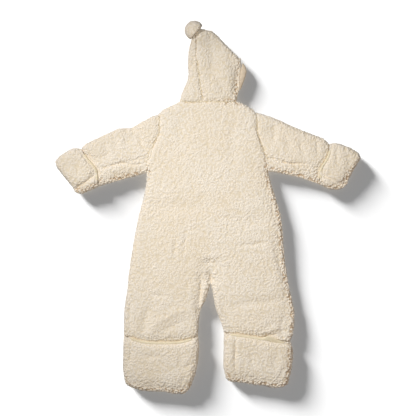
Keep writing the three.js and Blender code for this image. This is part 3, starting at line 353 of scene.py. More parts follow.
upper_creases = [
    # Round the crotch
    Crease([(-18, -145), (-15, -130), (-7, -119), (4, -115), (18, -119), (29, -130), (33, -143)], 7, -0.3),
    Crease([(-28, -140), (-24, -124), (-12, -109), (4, -105), (22, -108), (38, -122), (43, -140)], 9, 0.5),
    Crease([(3, -142), (4, -150), (6, -162)], 3.5, -2.0),
    Crease([(3, -144), (4, -156)], 2.4, -2.6),
    Crease([(-19, -146), (-17, -202), (-18, -228)], 3.5, -1.8),
    Crease([(-8, -160), (-12, -195), (-16, -215)], 5, 1.2),
    Crease([(31, -202), (40, -226), (54, -257)], 6, -1.4),
    Crease([(-103, 206), (-104, 164), (-122, 130), (-134, 100)], 2.6, -1.1),
    Crease([(106, 206), (114, 156), (131, 100)], 2.6, -1.1),
    Crease([(120, -285), (126, -279), (131, -275)], 2.6, -2.6),
    # Left leg
    Crease([(-128, -214), (-136, -242), (-144, -280)], 9, -2.0),
    Crease([(-36, -226), (-68, -230), (-108, -246), (-130, -276)], 8, 1.2),
    Crease([(-46, -248), (-84, -262), (-116, -278)], 7, -0.9),
    Crease([(-126, -188), (-110, -190), (-95, -194)], 3.5, -1.1),
    Crease([(-95, -238), (-84, -233)], 3.5, -1.2),
    Crease([(-168, -202), (-172, -280)], 5, -1.4),
    # Right leg
    Crease([(56, -217), (90, -210), (121, -206), (170, -197)], 10, -1.3),
    Crease([(65, -85), (98, -82), (130, -76)], 5, -1.2),
    Crease([(146, -62), (158, -120), (172, -183)], 6, -1.3),
    Crease([(116, -276), (139, -265), (168, -258)], 6, 1.6),
    Crease([(168, -240), (160, -262), (164, -282)], 5, -1.5),
    # Where the cloth falls away towards its lower and right edges
    Crease([(-282, 32), (-212, 56), (-135, 80)], 16, -3.6),
    Crease([(131, 84), (213, 64), (268, 43), (297, 55)], 16, -3.6),
    Crease([(128, 92), (169, -70), (180, -202), (187, -279)], 18, -3.4),
    Crease([(77, 317), (86, 282), (70, 249)], 22, -3.0),
    Crease([(66, 296), (68, 270), (56, 244), (40, 236)], 17, -2.95),
    Crease([(-14, -160), (-20, -200), (-18, -275)], 8, -2.0),
    # Body
    Crease([(-70, -65), (-71, -88), (-69, -110)], 4, -0.9),
    Crease([(-48, -48), (-50, -104)], 4, -0.8),
    Crease([(-62, 194), (-57, 128)], 14, -0.9),
    Crease([(60, 183), (53, 95)], 14, -0.9),
    Crease([(-128, 7), (-84, 1), (-40, 0), (10, 6)], 15, -0.9),
    Crease([(30, -20), (80, -32), (136, -22)], 13, -0.8),
    # Sleeves
    Crease([(-139, 99), (-165, 93), (-194, 95), (-218, 90), (-240, 86)], 3, -1.5),
    Crease([(130, 112), (150, 103), (176, 97), (200, 96), (221, 94), (240, 86)], 3, -1.5),
    Crease([(126, 118), (131, 109)], 3, -2.2),
    Crease([(-150, 161), (-144, 142), (-136, 128)], 6, -1.8),
    Crease([(-205, 161), (-198, 123)], 8, -1.2),
    Crease([(-227, 148), (-220, 106)], 7, -1.4),
    Crease([(-180, 168), (-176, 130)], 8, -0.9),
    Crease([(168, 162), (178, 142), (185, 126)], 7, -1.4),
    Crease([(203, 150), (209, 110)], 7, -1.1),
    Crease([(241, 148), (238, 114)], 5, -1.2),
    Crease([(144, 186), (150, 166), (146, 150)], 6, -1.2),
    # Hood
    Crease([(62, 324), (68, 300), (64, 268), (58, 240)], 9, -1.6),
    Crease([(65, 313), (66, 296), (66, 279)], 3.5, -1.4),
    Crease([(69, 273), (67, 260), (65, 248)], 3.5, -2.0),
    Crease([(46, 330), (54, 312), (58, 296)], 6, -1.2),
    Crease([(22, 290), (34, 268), (37, 246)], 9, -1.0),
    Crease([(-38, 296), (-32, 318), (-33, 344)], 5, -1.0),
    Crease([(-40, 364), (-22, 376), (0, 380)], 13, 4.0),
]
print("creases on the upper side:", len(upper_creases))

# %% Creases of the turned-over feet and mitts
flap_creases = [
    Crease([(-169, -300), (-171, -350)], 5, -1.2),
    Crease([(-150, -320), (-128, -324), (-108, -321)], 6, -0.9),
    Crease([(-60, -318), (-58, -345), (-50, -362)], 7, -1.0),
    Crease([(-36, -343), (-50, -352)], 4, -1.1),
    Crease([(-47, -371), (-60, -386)], 4, -1.2),
    Crease([(-120, -390), (-117, -375)], 5, -1.0),
    Crease([(-182, -380), (-160, -394), (-50, -409), (-24, -392)], 17, -4.2),
    Crease([(42, -368), (52, -380), (136, -394), (176, -387)], 17, -4.2),
    Crease([(-26, -392), (-20, -340), (-18, -290)], 12, -2.8),
    Crease([(182, -384), (188, -340), (184, -300)], 13, -3.2),
    Crease([(-290, 30), (-262, 40), (-244, 50)], 12, -3.6),
    Crease([(240, 46), (268, 41), (297, 53), (320, 88)], 12, -3.6),
    Crease([(58, -284), (59, -330), (64, -368)], 3.5, -2.0),
    Crease([(236, 84), (250, 74), (276, 62), (305, 51)], 3.4, -2.4),
    Crease([(-238, 84), (-248, 76), (-268, 58), (-294, 37)], 3.4, -2.4),
    Crease([(93, -318), (97, -336), (102, -352)], 6, -1.0),
    Crease([(150, -312), (146, -338), (152, -362)], 7, -1.0),
    Crease([(168, -350), (158, -372)], 5, -1.1),
    Crease([(-299, 106), (-290, 92), (-281, 79)], 7, -1.2),
    Crease([(-320, 98), (-306, 80)], 5, -1.0),
    Crease([(283, 137), (280, 118), (281, 103)], 5, -1.4),
    Crease([(303, 124), (308, 104), (304, 86)], 6, -1.0),
]
under_creases = [
    Crease([(-110, 180), (-84, 172), (-60, 176)], 8, -1.4),
    Crease([(58, 182), (84, 174), (104, 184)], 8, -1.2),
    Crease([(-120, 30), (-76, 22), (-30, 28)], 10, -1.2),
    Crease([(34, 12), (84, 2), (128, 8)], 11, -1.2),
    Crease([(-108, -70), (-60, -84), (-20, -92)], 9, -1.2),
    Crease([(30, -96), (70, -84), (120, -72)], 9, -1.2),
    Crease([(-14, -140), (-52, -164), (-84, -172)], 7, -1.5),
    Crease([(22, -146), (58, -160), (96, -162)], 7, -1.4),
    Crease([(-150, -210), (-100, -222), (-54, -214)], 9, -1.2),
    Crease([(64, -206), (110, -220), (156, -208)], 9, -1.2),
    Crease([(-150, -290), (-112, -298), (-62, -290)], 8, -1.3),
    Crease([(62, -284), (112, -296), (152, -286)], 8, -1.3),
    Crease([(-240, 96), (-230, 78), (-228, 64)], 7, -1.2),
    Crease([(-180, 150), (-172, 110)], 8, -1.2),
    Crease([(176, 148), (186, 108)], 8, -1.2),
    Crease([(222, 128), (226, 84)], 7, -1.1),
    Crease([(-20, 330), (4, 300), (10, 262)], 9, -1.2),
]
print("creases of the flaps and underneath:", len(flap_creases), len(under_creases))

# %% How far the creases lift each point
SWAY = 2.2 * MM
SWAY_LENGTH = 21 * MM
HEIGHT = 1.8 * MM

def relief(places, creases):
    """The height that the creases add to each place, in metres."""
    x = places[:, 0] - PICTURE_MIDDLE.x + SWAY * np.sin(places[:, 1] / SWAY_LENGTH)
    y = places[:, 1] - PICTURE_MIDDLE.y + SWAY * np.sin(places[:, 0] / SWAY_LENGTH + 1)
    total = np.zeros(len(places))
    for crease in creases:
        path = np.array(crease.path) * MM
        runs = np.hypot(*np.diff(path, axis=0).T)
        nearest = np.full(len(places), np.inf)
        share = np.zeros(len(places))
        for k, run in enumerate(runs):
            way = (path[k + 1] - path[k]) / run
            along = np.clip((x - path[k, 0]) * way[0] + (y - path[k, 1]) * way[1], 0, run)
            away = np.hypot(x - path[k, 0] - along * way[0], y - path[k, 1] - along * way[1])
            closer = away < nearest
            nearest[closer] = away[closer]
            share[closer] = (runs[:k].sum() + along[closer]) / runs.sum()
        fade = np.sin(np.pi * (0.06 + 0.88 * share)) ** 0.7
        total += crease.depth * HEIGHT * fade * np.exp(-((nearest / (crease.width * MM)) ** 2))
    return total

# %% [markdown]
# ## Where the curls may grow
# Only the outside of the cloth has curls. The inside faces another layer, a few
# millimetres away. Beside a binding or the zip the pile is short, so these stay free. On
# the slopes that fall away to the lower and right edges the curls grow deeper, and the
# fleece's colour has painted deep shade between them there.

# %% Creases, and where the curls may grow
CLEAR_NEAR = 1.0 * MM
CLEAR_FAR = 4.5 * MM
PILE_BY_SLOPE = [(0, 0.4), (0.5, 0.75), (0.9, 1.05), (0.97, 0.85), (1, 0.6)]
STEEP = -2.9
FULL_SLOPE = 3.0 * MM
# How much the falling slopes deepen the curls and raise the painted deep shade between them.
OPEN_PILE_AND_PAINTED_SHADE = 0.6

def near_others(places, nodes):
    """0 beside these CAD nodes and 1 a few millimetres away from them."""
    share = np.ones(len(places))
    for node in nodes:
        low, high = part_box(node)
        margin = Vector((CLEAR_FAR,) * 3)
        close = np.all((places > low - margin) & (places < high + margin), axis=1)
        surface = BVHTree.FromObject(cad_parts[node], bpy.context.evaluated_depsgraph_get())
        for k in np.flatnonzero(close):
            away = surface.find_nearest(Vector(places[k]))[3]
            free = min(max((away - CLEAR_NEAR) / (CLEAR_FAR - CLEAR_NEAR), 0), 1)
            share[k] = min(share[k], free)
    return share

def crease_cloth(piece, above, below, clear_of=(), hollow=True):
    """Lifts the points of both outsides, and marks where the curls may grow; on falling slopes the mark
    also calls for painted deep shade.
    """
    mesh = piece.data
    places, normals = values_of(mesh, "co"), values_of(mesh, "normal")
    hidden = inside_of(places, normals) if hollow else np.zeros(len(places), bool)
    share = near_others(places, clear_of) * ~hidden
    up = np.clip(normals[:, 2], 0, 1) * share
    down = np.clip(-normals[:, 2], 0, 1) * share
    share *= np.interp(np.abs(normals[:, 2]), *np.array(PILE_BY_SLOPE).T)
    places[:, 2] += up * relief(places, above)
    places[:, 2] -= down * np.minimum(relief(places, below), 0)
    mesh.vertices.foreach_set("co", places.ravel())
    mesh.update()
    # On these slopes the curls grow deeper, and the raised share also paints deep shade between them in
    # the fleece.
    slopes = [crease for crease in above if crease.depth < STEEP]
    share *= 1 + OPEN_PILE_AND_PAINTED_SHADE * np.clip(-relief(places, slopes) / FULL_SLOPE, 0, 1)
    outside = mesh.attributes.new("outside", "FLOAT", "POINT")
    outside.data.foreach_set("value", share.astype(np.float32))

# %% [markdown]
# ## Curls, with Geometry Nodes
# The pile is a mass of short curls that look like small worms lying in all directions.
# Hair strands would show this only close up, and they don't travel with the mesh. The
# middle lines of a twisted noise are curls already: a ridge is raised wherever the noise
# is near its middle value. Rounded cells swell into tufts between them. The tree moves
# each outside point along its normal and stores the height for the fleece's colour. Curls
# that look down are pressed in instead, so their tips touch the surface they lie on.

# %% The tree of curls
def group_inputs(tree, sockets):
    """Named inputs of a tree, as flows by name, after its geometry output."""
    tree.interface.new_socket("Geometry", in_out="OUTPUT", socket_type="NodeSocketGeometry")
    for name, kind in sockets.items():
        tree.interface.new_socket(name, in_out="INPUT", socket_type=f"NodeSocket{kind}")
    graph = Graph(tree)
    source = tree.nodes.new("NodeGroupInput")
    return graph, {name: Flow(graph, source.outputs[name]) for name in sockets}

def end_tree(graph, shape, material):
    shape = graph.node("GeometryNodeRealizeInstances", None, {"Geometry": shape})
    shape = graph.node("GeometryNodeSetMaterial", None, {"Geometry": shape, "Material": material})
    result = graph.tree.nodes.new("NodeGroupOutput")
    graph.tree.links.new(shape.socket, result.inputs["Geometry"])

def make_curl_tree():
    tree = bpy.data.node_groups.new("curls of the pile", "GeometryNodeTree")
    graph, given = group_inputs(tree, {
        "Geometry": "Geometry", "Curl size": "Float", "Depth": "Float", "Seed": "Float",
        "Material": "Material",
    })
    place = graph.node("GeometryNodeInputPosition")
    shift = graph.node("ShaderNodeCombineXYZ", None, {"X": given["Seed"], "Y": given["Seed"] * 0.37})
    moved = graph.node("ShaderNodeVectorMath", {"operation": "ADD"}, {0: place, 1: shift})

    def noise(curls, detail, distortion, output=0):
        scale = 1 / (given["Curl size"] * curls)
        return graph.node("ShaderNodeTexNoise", None, {
            "Vector": moved, "Scale": scale, "Detail": detail, "Distortion": distortion,
        }, output)

    def vectors(operation, first, second, key=1):
        return graph.node("ShaderNodeVectorMath", {"operation": operation}, {0: first, key: second})

    wander = vectors("SUBTRACT", noise(1.6, 1.0, 0.0, output=1), (0.5, 0.5, 0.5))
    wander = vectors("SCALE", wander, given["Curl size"] * 0.8, key="Scale")
    cells = graph.node("ShaderNodeTexVoronoi", None, {
        "Vector": vectors("ADD", moved, wander), "Scale": 1 / given["Curl size"],
    })
    tuft = 1 - graph.step(cells, 0.15, 0.8)
    twisted = noise(1.5, 1.0, 1.6)
    from_middle = twisted.maths("ABSOLUTE", twisted * 2 - 1)
    ridge = 1 - graph.step(from_middle, 0.0, 0.30)
    lively = graph.step(noise(11.0, 1.0, 0.0), 0.3, 0.7) * 0.35 + 0.65
    curl = (tuft * 0.82 + ridge * 0.18) * lively
    named = graph.node("GeometryNodeInputNamedAttribute", {"data_type": "FLOAT"}, {"Name": "outside"})
    normal = graph.node("GeometryNodeInputNormal")
    height = graph.node("ShaderNodeSeparateXYZ", None, {"Vector": normal}, output=2)
    downward = height.maths("MAXIMUM", 0 - height, 0)
    lift = (curl - downward) * given["Depth"] * named
    offset = graph.node("ShaderNodeVectorMath", {"operation": "SCALE"}, {0: normal, "Scale": lift})
    target = graph.node("ShaderNodeVectorMath", {"operation": "ADD"}, {0: place, 1: offset})
    above = graph.node("ShaderNodeVectorMath", {"operation": "MAXIMUM"}, {0: target, 1: (-9, -9, 0)})
    stored = graph.node("GeometryNodeStoreNamedAttribute", {"data_type": "FLOAT", "domain": "POINT"},
                        {"Geometry": given["Geometry"], "Name": "curl", "Value": curl})
    shape = graph.node("GeometryNodeSetPosition", None, {"Geometry": stored, "Position": above})
    end_tree(graph, shape, given["Material"])
    return tree

curl_tree = make_curl_tree()

def add_tree(piece, tree, **inputs):
    """Runs a Geometry Nodes tree on a piece and keeps the result as its mesh."""
    modifier = piece.modifiers.new(tree.name, "NODES")
    modifier.node_group = tree
    for item in tree.interface.items_tree:
        name = item.name.replace(" ", "_")
        if item.in_out == "INPUT" and name in inputs:
            modifier[item.identifier] = inputs[name]
    apply_all(piece)

# %% [markdown]
# ## Fewer points where nothing happens
# The curls need points a millimetre apart, but the flat inside of the wall doesn't. The
# Decimate modifier removes first what changes the shape least, so with one target for
# each piece it empties the inside and leaves the curls alone.

# %% Thin out a piece
def triangles_in(mesh):
    return sum(len(polygon.vertices) - 2 for polygon in mesh.polygons)

def thin_out(piece, target):
    modify(piece, "DECIMATE", ratio=min(1, target / triangles_in(piece.data)))

# %% [markdown]
# ## The fleece pieces
# Each piece of fleece goes through the same steps: wall, creases, curls, thin inside. A
# table holds what differs. Pieces of the upper layer show most, so their points are
# closest together. The size of the cut is the flat cloth that the piece needs, all
# round where it is a tube.

# %% Table of the fleece pieces
Cut = namedtuple("Cut", "node spacing triangles width length held beside")

FINE = 1.1 * MM
HIDDEN = 1.5 * MM
CURL_SIZE = 4.4 * MM
CURL_DEPTH = 2.9 * MM

TUBES = ("sleeve_left", "sleeve_right", "hood_left")
ZIP_NODES = ("zip_tape_left", "zip_tape_right", "zip_slider")

def bindings(part, side):
    return (f"{part}_binding_{side}",)

fleece_cuts = [
    Cut("back", FINE, 190000, 0.380, 0.560, "laid", bindings("foot", "left") + bindings("foot", "right")),
    Cut("front_left", HIDDEN, 58000, 0.195, 0.650, "laid", ZIP_NODES),
    Cut("front_right", HIDDEN, 58000, 0.195, 0.650, "laid", ZIP_NODES),
    Cut("sleeve_left", FINE, 80000, 0.250, 0.195, "folded", bindings("mitt", "left")),
    Cut("sleeve_right", FINE, 80000, 0.250, 0.195, "folded", bindings("mitt", "right")),
    Cut("mitt_palm_left", HIDDEN, 12000, 0.110, 0.100, "laid", ()),
    Cut("mitt_palm_right", HIDDEN, 12000, 0.110, 0.100, "laid", ()),
    Cut("mitt_flap_left", FINE, 30000, 0.120, 0.110, "folded", bindings("mitt", "left")),
    Cut("mitt_flap_right", FINE, 30000, 0.120, 0.110, "folded", bindings("mitt", "right")),
    Cut("foot_flap_left", FINE, 52000, 0.175, 0.130, "folded", bindings("foot", "left")),
    Cut("foot_flap_right", FINE, 46000, 0.165, 0.125, "folded", bindings("foot", "right")),
    Cut("hood_left", FINE, 60000, 0.200, 0.190, "folded", ("hood_facing_left",)),
    Cut("hood_right", FINE, 45000, 0.120, 0.175, "laid", ("hood_facing_right",)),
]

def flat_area(mesh):
    """The cloth of a wall: half of all its surface, in square metres."""
    return sum(polygon.area for polygon in mesh.polygons) / 2

def report_on(piece, node):
    mesh = piece.data
    print(node, "triangles:", triangles_in(mesh), "cloth in dm2:",
          round(flat_area(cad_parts[node].data) * 100, 2), round(flat_area(mesh) * 100, 2))

def add_curls(piece, number, depth=CURL_DEPTH):
    add_tree(piece, curl_tree, Curl_size=CURL_SIZE, Depth=depth, Seed=0.1 * number,
             Material=fleece)

def place_on_suit(piece, node, body="suit"):
    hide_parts(node)
    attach(piece, body)

for number, cut in enumerate(fleece_cuts):
    factor = 1
    piece = soft_wall(cut.node, cut.spacing * factor, tube=cut.node in TUBES)
    above = flap_creases if "flap" in cut.node else upper_creases
    crease_cloth(piece, above, under_creases, cut.beside)
    add_curls(piece, number)
    thin_out(piece, cut.triangles / factor ** 2)
    place_on_suit(piece, cut.node)
    report_on(piece, cut.node)

# %% [markdown]
# ## The bobble
# The bobble is a small disc of the same fleece, gathered by a thread and stuffed. The
# gathers show as short folds that run together where it meets the hood.

# %% Bobble
gathers = [
    Crease([(-15, 394), (-20, 385), (-30, 377), (-36, 373)], 4.0, 1.2),
    Crease([(-20, 394), (-27, 396), (-35, 397)], 2.0, -0.9),
    Crease([(-25, 386), (-32, 390), (-41, 390)], 2.0, -0.8),
    Crease([(-32, 380), (-36, 385), (-43, 384)], 2.0, -0.8),
]

bobble = soft_wall("bobble", FINE * (1), rounding=30)
crease_cloth(bobble, gathers, [], hollow=False)
add_curls(bobble, 20, depth=1.4 * MM)
thin_out(bobble, 18000)
place_on_suit(bobble, "bobble")
print("bobble triangles:", triangles_in(bobble.data))

# %% [markdown]
# ## Bindings and facing
# A binding is a narrow strip of cotton folded round the open edge of a flap. Its CAD
# solid already has that fold, so a subdivision surface is enough to make it round. The
# facing is the smooth strip that shows at the hood's face edge. It has no pile, only a
# few soft wrinkles across it.

# %% Bindings
GAPE = [(119, 0), (132, 8.5), (140, 7.5), (166, 0)]
BINDING_EDGE = [(35, -275), (181, -293.5)]

def open_fold(mesh):
    """The right foot's binding gapes: its upper rim bows out where the leg lifts."""
    places = values_of(mesh, "co")
    x, y = places[:, 0] - PICTURE_MIDDLE.x, places[:, 1] - PICTURE_MIDDLE.y
    edge = np.interp(x, *(MM * np.array(BINDING_EDGE).T))
    share = np.clip((y - edge + 5 * MM) / (5 * MM), 0, 1)
    places[:, 1] += share * np.interp(x, *(MM * np.array(GAPE).T))
    places[:, 2] += share * np.interp(x, *(MM * np.array(GAPE).T)) * 0.6
    mesh.vertices.foreach_set("co", places.ravel())
    mesh.update()

def settle(mesh, node):
    """The binding follows the slopes of the flap: its top most, its underside least."""
    places = values_of(mesh, "co")
    low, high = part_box(node)
    share = np.clip((places[:, 2] - low.z) / (high.z - low.z), 0, 1)
    places[:, 2] += share * np.minimum(relief(places, flap_creases), 0)
    mesh.vertices.foreach_set("co", places.ravel())
    mesh.update()

for part in ("foot", "mitt"):
    for side in ("left", "right"):
        node = f"{part}_binding_{side}"
        piece = merged_copy(node, f"{node}_cloth")
        modify(piece, "SUBSURF", levels=2, render_levels=2)
        settle(piece.data, node)
        if node == "foot_binding_right":
            open_fold(piece.data)
        piece.data.materials.append(cotton)
        piece.data.shade_smooth()
        low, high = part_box(node)
        place_on_suit(piece, node)
        report_on(piece, node)

# %% Facing
facing_wrinkles = [
    Crease([(70, 306), (84, 300)], 2.0, -0.5),
    Crease([(69, 290), (83, 288)], 2.4, -0.6),
    Crease([(70, 276), (78, 278)], 2.0, -0.5),
]

for side in ("left", "right"):
    node = f"hood_facing_{side}"
    piece = soft_wall(node, 0.8 * MM, rounding=6)
    crease_cloth(piece, facing_wrinkles, [])
    thin_out(piece, 9000)
    piece.data.materials.append(facing_cotton)
    place_on_suit(piece, node)
    report_on(piece, node)

# %% [markdown]
# ## Stitches and zip teeth
# Both are one small bead, repeated along a path. A Geometry Nodes tree turns the path
# into evenly spaced points, puts a bead on each and turns it along the path. The beads
# are made real at the end of the tree.

# %% The tree of beads
def make_bead_tree():
    tree = bpy.data.node_groups.new("beads along a path", "GeometryNodeTree")
    graph, given = group_inputs(tree, {
        "Geometry": "Geometry", "Spacing": "Float", "Size": "Vector", "Material": "Material",
    })
    curve = graph.node("GeometryNodeMeshToCurve", None, {"Mesh": given["Geometry"]})
    points = graph.node("GeometryNodeCurveToPoints", {"mode": "LENGTH"},
                        {"Curve": curve, "Length": given["Spacing"]})
    tangent = Flow(graph, points.socket.node.outputs["Tangent"])
    turn = graph.node("FunctionNodeAlignRotationToVector", {"axis": "Y", "pivot_axis": "Z"},
                      {"Vector": tangent})
    bead = graph.node("GeometryNodeMeshUVSphere", None, {"Segments": 8, "Rings": 5, "Radius": 0.5})
    bead = graph.node("GeometryNodeTransform", None, {"Geometry": bead, "Scale": given["Size"]})
    row = graph.node("GeometryNodeInstanceOnPoints", None,
                     {"Points": points, "Instance": bead, "Rotation": turn})
    end_tree(graph, row, given["Material"])
    return tree

bead_tree = make_bead_tree()

def bead_row(name, path, spacing, size, material):
    """A row of beads along a path of points. The size is across, along and up."""
    mesh = bpy.data.meshes.new(name)
    mesh.from_pydata(path, [(k, k + 1) for k in range(len(path) - 1)], [])
    piece = new_piece(name, mesh)
    add_tree(piece, bead_tree, Spacing=spacing, Size=size, Material=material)
    piece.data.shade_smooth()
    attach(piece, "suit")
    return piece

# %% Stitches along the bindings
STITCH = (0.6 * MM, 2.3 * MM, 0.5 * MM)
STITCH_SPACING = 3.2 * MM
STITCH_INSET = 3.4 * MM
DOWN = Vector((0, 0, -1))

def edge_path(node, outwards, inset):
    """Points on top of a binding, so far in from the edge that looks outwards."""
    surface = BVHTree.FromObject(bpy.data.objects[f"{node}_cloth"],
                                 bpy.context.evaluated_depsgraph_get())
    low, high = (Vector(corner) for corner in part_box(node))
    along = Vector((abs(outwards.y), abs(outwards.x), 0))
    start = Vector((high.x if outwards.x > 0 else low.x, high.y if outwards.y > 0 else low.y, 1))
    start -= (start - low).dot(along) * along
    length, depth = (high - low).dot(along), abs((high - low).dot(outwards))
    path = []
    for number in range(1, int(length / (2 * MM))):
        corner = start + 2 * MM * number * along
        for back in range(int(depth / (0.2 * MM))):
            edge = corner - 0.2 * MM * back * outwards
            if surface.ray_cast(edge, DOWN)[0]:
                top = surface.ray_cast(edge - inset * outwards, DOWN)[0]
                path += [top] if top else []
                break
    return path

stitch_rows = {
    "foot_binding_left": Vector((0, 1, 0)), "foot_binding_right": Vector((0, 1, 0)),
    "mitt_binding_left": Vector((1, 0, 0)), "mitt_binding_right": Vector((-1, 0, 0)),
}
for node, outwards in stitch_rows.items():
    path = edge_path(node, outwards, STITCH_INSET)
    row = bead_row(node.replace("binding", "stitches"), path, STITCH_SPACING, STITCH, cotton)
    print(row.name, "triangles:", triangles_in(row.data))

# %% [markdown]
# ## Seams where the knit shows
# At the neck, the armholes and the hood's middle seam the pile parts a little, and the
# yellower thread of the seam shows at the bottom of the groove. The script looks for the
# lowest place across each seam, and lays a row of long stitches there.

# %% Thread in the seams
SEAM_REACH = 4.5 * MM
SEAM_STITCH = (1.7 * MM, 3.6 * MM, 1.4 * MM)
SEAM_SPACING = 3.0 * MM

seam_lines = {
    "neck_seam": ([(-59, 233), (-20, 232), (20, 232), (60, 233)], ("back", "hood_left", "hood_right")),
    "hood_seam": ([(-23, 322), (-18, 280), (-13, 240)], ("hood_left", "hood_right")),
    "armhole_left": ([(-103, 200), (-104, 164), (-122, 130), (-132, 106)], ("back", "sleeve_left")),
    "armhole_right": ([(106, 200), (114, 156), (129, 106)], ("back", "sleeve_right")),
}

def groove_path(line, nodes):
    """Points near the bottom of the groove that runs along a line."""
    tops = [BVHTree.FromObject(bpy.data.objects[f"{node}_cloth"],
                               bpy.context.evaluated_depsgraph_get()) for node in nodes]

    def height(x, y):
        hits = [top.ray_cast(Vector((x, y, 1)), DOWN)[0] for top in tops]
        return max([hit.z for hit in hits if hit], default=0)

    line = np.array(line) * MM + [PICTURE_MIDDLE.x, PICTURE_MIDDLE.y]
    runs = np.hypot(*np.diff(line, axis=0).T)
    marks = np.concatenate([[0], np.cumsum(runs)])
    stops = np.arange(0, marks[-1], 2 * MM)
    places = np.stack([np.interp(stops, marks, line[:, k]) for k in (0, 1)], axis=1)
    ways = np.gradient(places, axis=0)
    ways /= np.hypot(*ways.T)[:, None]
    offsets = np.linspace(-SEAM_REACH, SEAM_REACH, 19)
    lowest = []
    for (x, y), (along_x, along_y) in zip(places, ways):
        heights = [height(x - away * along_y, y + away * along_x) for away in offsets]
        best = int(np.argmin(heights))
        lowest.append((offsets[best], min(heights), np.median(heights)))
    offset, bottom, around = np.array(lowest).T
    smooth = [np.convolve(np.pad(row, 3, mode="edge"), np.ones(7) / 7, mode="valid")
              for row in (offset, bottom * 0.3 + around * 0.7)]
    return [(x - away * along_y, y + away * along_x, z)
            for (x, y), (along_x, along_y), away, z in zip(places, ways, *smooth)]

for name, (line, nodes) in seam_lines.items():
    path = groove_path(line, nodes)
    row = bead_row(name, path, SEAM_SPACING, SEAM_STITCH, cotton)
    print(name, "triangles:", triangles_in(row.data))

# %% [markdown]
# ## The zip underneath
# A fine coil zip closes the front. Its tapes are woven strips that lie a little unevenly,
# so each is cut into short lengths that can bend. Each half of the coil is a row of flat
# beads on its edge of the tape, and a row of stitches holds the tape to the fleece. The
# slider and its pull tab are cast metal, so their edges are rounded by a small bevel.

# %% Zip
TOOTH = (2.0 * MM, 0.9 * MM, 0.8 * MM)
TOOTH_SPACING = 1.5 * MM
TOOTH_PLACE = 1.3 * MM
TAPE_STITCHES = 6.5 * MM
TAPE_RISE = 1.1 * MM

TAPE_WAVES = [
    Crease([(-16, 150), (18, 156)], 14, -0.22),
    Crease([(-16, 96), (18, 84)], 18, 0.2),
    Crease([(-16, 30), (18, 38)], 15, -0.25),
    Crease([(-16, -34), (18, -22)], 20, 0.18),
    Crease([(-16, -80), (18, -88)], 12, -0.2),
]

def woven_strip(node):
    """A tape in short lengths, a little uneven."""
    piece = merged_copy(node, f"{node}_cloth")
    shape = bmesh.new()
    shape.from_mesh(piece.data)
    low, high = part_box(node)
    for y in np.arange(low.y + 3 * MM, high.y - MM, 3 * MM):
        bmesh.ops.bisect_plane(shape, geom=shape.verts[:] + shape.edges[:] + shape.faces[:],
                               plane_co=(0, y, 0), plane_no=(0, 1, 0))
    shape.to_mesh(piece.data)
    shape.free()
    places = values_of(piece.data, "co")
    places[:, 2] += relief(places, TAPE_WAVES)
    piece.data.vertices.foreach_set("co", places.ravel())
    piece.data.update()
    piece.data.materials.append(tape_cloth)
    return piece

for side, sign in (("left", -1), ("right", 1)):
    node = f"zip_tape_{side}"
    tape = woven_strip(node)
    place_on_suit(tape, node)
    low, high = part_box(node)
    edge = high.x if sign < 0 else low.x
    x = edge + sign * TOOTH_PLACE
    shift = TOOTH_SPACING / 2 if sign < 0 else 0
    path = [(x, low.y + MM + shift, low.z), (x, high.y - 10 * MM, low.z)]
    row = bead_row(f"zip_teeth_{side}", path, TOOTH_SPACING, TOOTH, coil)
    x = edge + sign * TAPE_STITCHES
    path = [(x, low.y + 2 * MM, low.z + TAPE_RISE), (x, high.y - 2 * MM, low.z + TAPE_RISE)]
    stitches = bead_row(f"zip_stitches_{side}", path, STITCH_SPACING, STITCH, cotton)
    print(node, "in mm:", [round(side / MM, 1) for side in high - low],
          "triangles:", triangles_in(tape.data), triangles_in(row.data))

for node, body in (("zip_slider", "suit"), ("zip_pull", "pull_tab")):
    piece = merged_copy(node, f"{node}_metal")
    modify(piece, "BEVEL", width=0.22 * MM, segments=2, limit_method="ANGLE",
           angle_limit=math.radians(40))
    piece.data.materials.append(metal)
    place_on_suit(piece, node, body)

# %% [markdown]
# ## The stage
# The suit lies on a pale floor under soft studio light. A broad light hangs above it, a
# cooler one to the upper left and a warm, weak one to the lower right. The soft shadow to
# the lower right belongs to the floor alone: a low lamp lights the floor but not the
# cloth, which light linking allows. From below, the floor is clear, so that the front of
# the suit can be seen.

# %% Floor
FLOOR_SIZE = 6.0
FLOOR_GAP = 0.5 * MM

def make_floor():
    material, graph, link = new_material("floor", Roughness=1.0, Base_Color=(0.93, 0.93, 0.93, 1))
    behind = graph.node("ShaderNodeNewGeometry", output="Backfacing")
    clear = graph.node("ShaderNodeBsdfTransparent")
    shader = Flow(graph, material.node_tree.nodes["Principled BSDF"].outputs[0])
    mixed = graph.node("ShaderNodeMixShader", None, {"Fac": behind, 1: shader, 2: clear})
    material.node_tree.links.new(mixed.socket, material.node_tree.nodes["Material Output"].inputs[0])
    shape = bmesh.new()
    bmesh.ops.create_grid(shape, x_segments=1, y_segments=1, size=FLOOR_SIZE / 2)
    mesh = bpy.data.meshes.new("floor")
    shape.to_mesh(mesh)
    shape.free()
    mesh.transform(Matrix.Translation((0, 0, -FLOOR_GAP)))
    mesh.materials.append(material)
    return new_piece("floor", mesh)

floor = make_floor()
floor.visible_diffuse = False

# %% Lights
def aim(lamp, target):
    lamp.rotation_euler = (target - lamp.location).to_track_quat("-Z", "Y").to_euler()

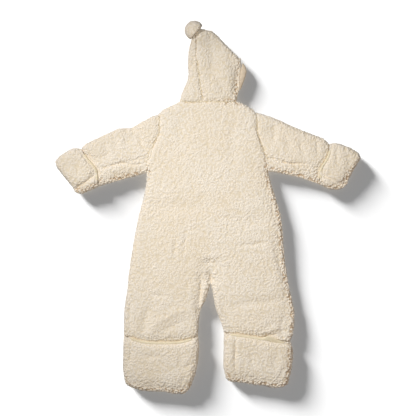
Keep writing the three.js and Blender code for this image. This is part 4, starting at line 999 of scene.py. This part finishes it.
def floor_group(lamp, state):
    group = bpy.data.collections.new(f"{lamp.name} and the floor")
    group.objects.link(floor)
    group.collection_objects[0].light_linking.link_state = state
    return group

def only_on(lamp, state):
    """Links a lamp to the floor alone, or to everything but the floor."""
    lamp.light_linking.receiver_collection = floor_group(lamp, state)

def softbox(name, place, size, power, colour):
    light = bpy.data.lights.new(name, "AREA")
    light.shape = "DISK"
    light.size = size
    light.energy = power
    light.color = colour
    lamp = new_piece(name, light)
    lamp.location = place
    aim(lamp, Vector((0, 0, 0)))
    only_on(lamp, "EXCLUDE")
    return lamp

softbox("overhead", (0.03, 0.04, 1.2), 0.7, 4.6, (1.0, 0.99, 0.96))
softbox("lower right", (1.3, -1.2, 0.35), 0.6, 1.3, (1.0, 0.45, 0.20))
softbox("low upper left", (-2.2, 2.0, 0.5), 0.8, 7.5, (0.76, 0.71, 1.0))
below = softbox("below", (-0.5, 0.5, -1.6), 1.4, 16, (1.0, 0.99, 0.97))
below.light_linking.blocker_collection = floor_group(below, "EXCLUDE")

light = bpy.data.lights.new("upper left", "SPOT")
light.energy = 192
light.color = (1.0, 0.995, 0.99)
light.spot_size = math.radians(27)
light.spot_blend = 1
light.shadow_soft_size = 0.15
key_lamp = new_piece("upper left", light)
key_lamp.location = (-1.45, 1.22, 2.0)
aim(key_lamp, Vector((0.10, -0.09, 0)))
only_on(key_lamp, "EXCLUDE")

def floor_sun(name, way, energy, angle, shadow):
    light = bpy.data.lights.new(name, "SUN")
    light.energy = energy
    light.angle = math.radians(angle)
    light.use_shadow = shadow
    lamp = new_piece(name, light)
    aim(lamp, Vector(way))
    only_on(lamp, "INCLUDE")

floor_sun("low lamp", (46, -46, -18), 10.5, 17, True)
floor_sun("shadow fill", (0, 0, -1), 0.45, 1, False)

world = bpy.data.worlds.new("studio")
world.use_nodes = True
world.node_tree.nodes["Background"].inputs["Color"].default_value = (1, 1, 1, 1)
world.node_tree.nodes["Background"].inputs["Strength"].default_value = 0.16
bpy.context.scene.world = world
bpy.context.scene.view_settings.view_transform = "Standard"
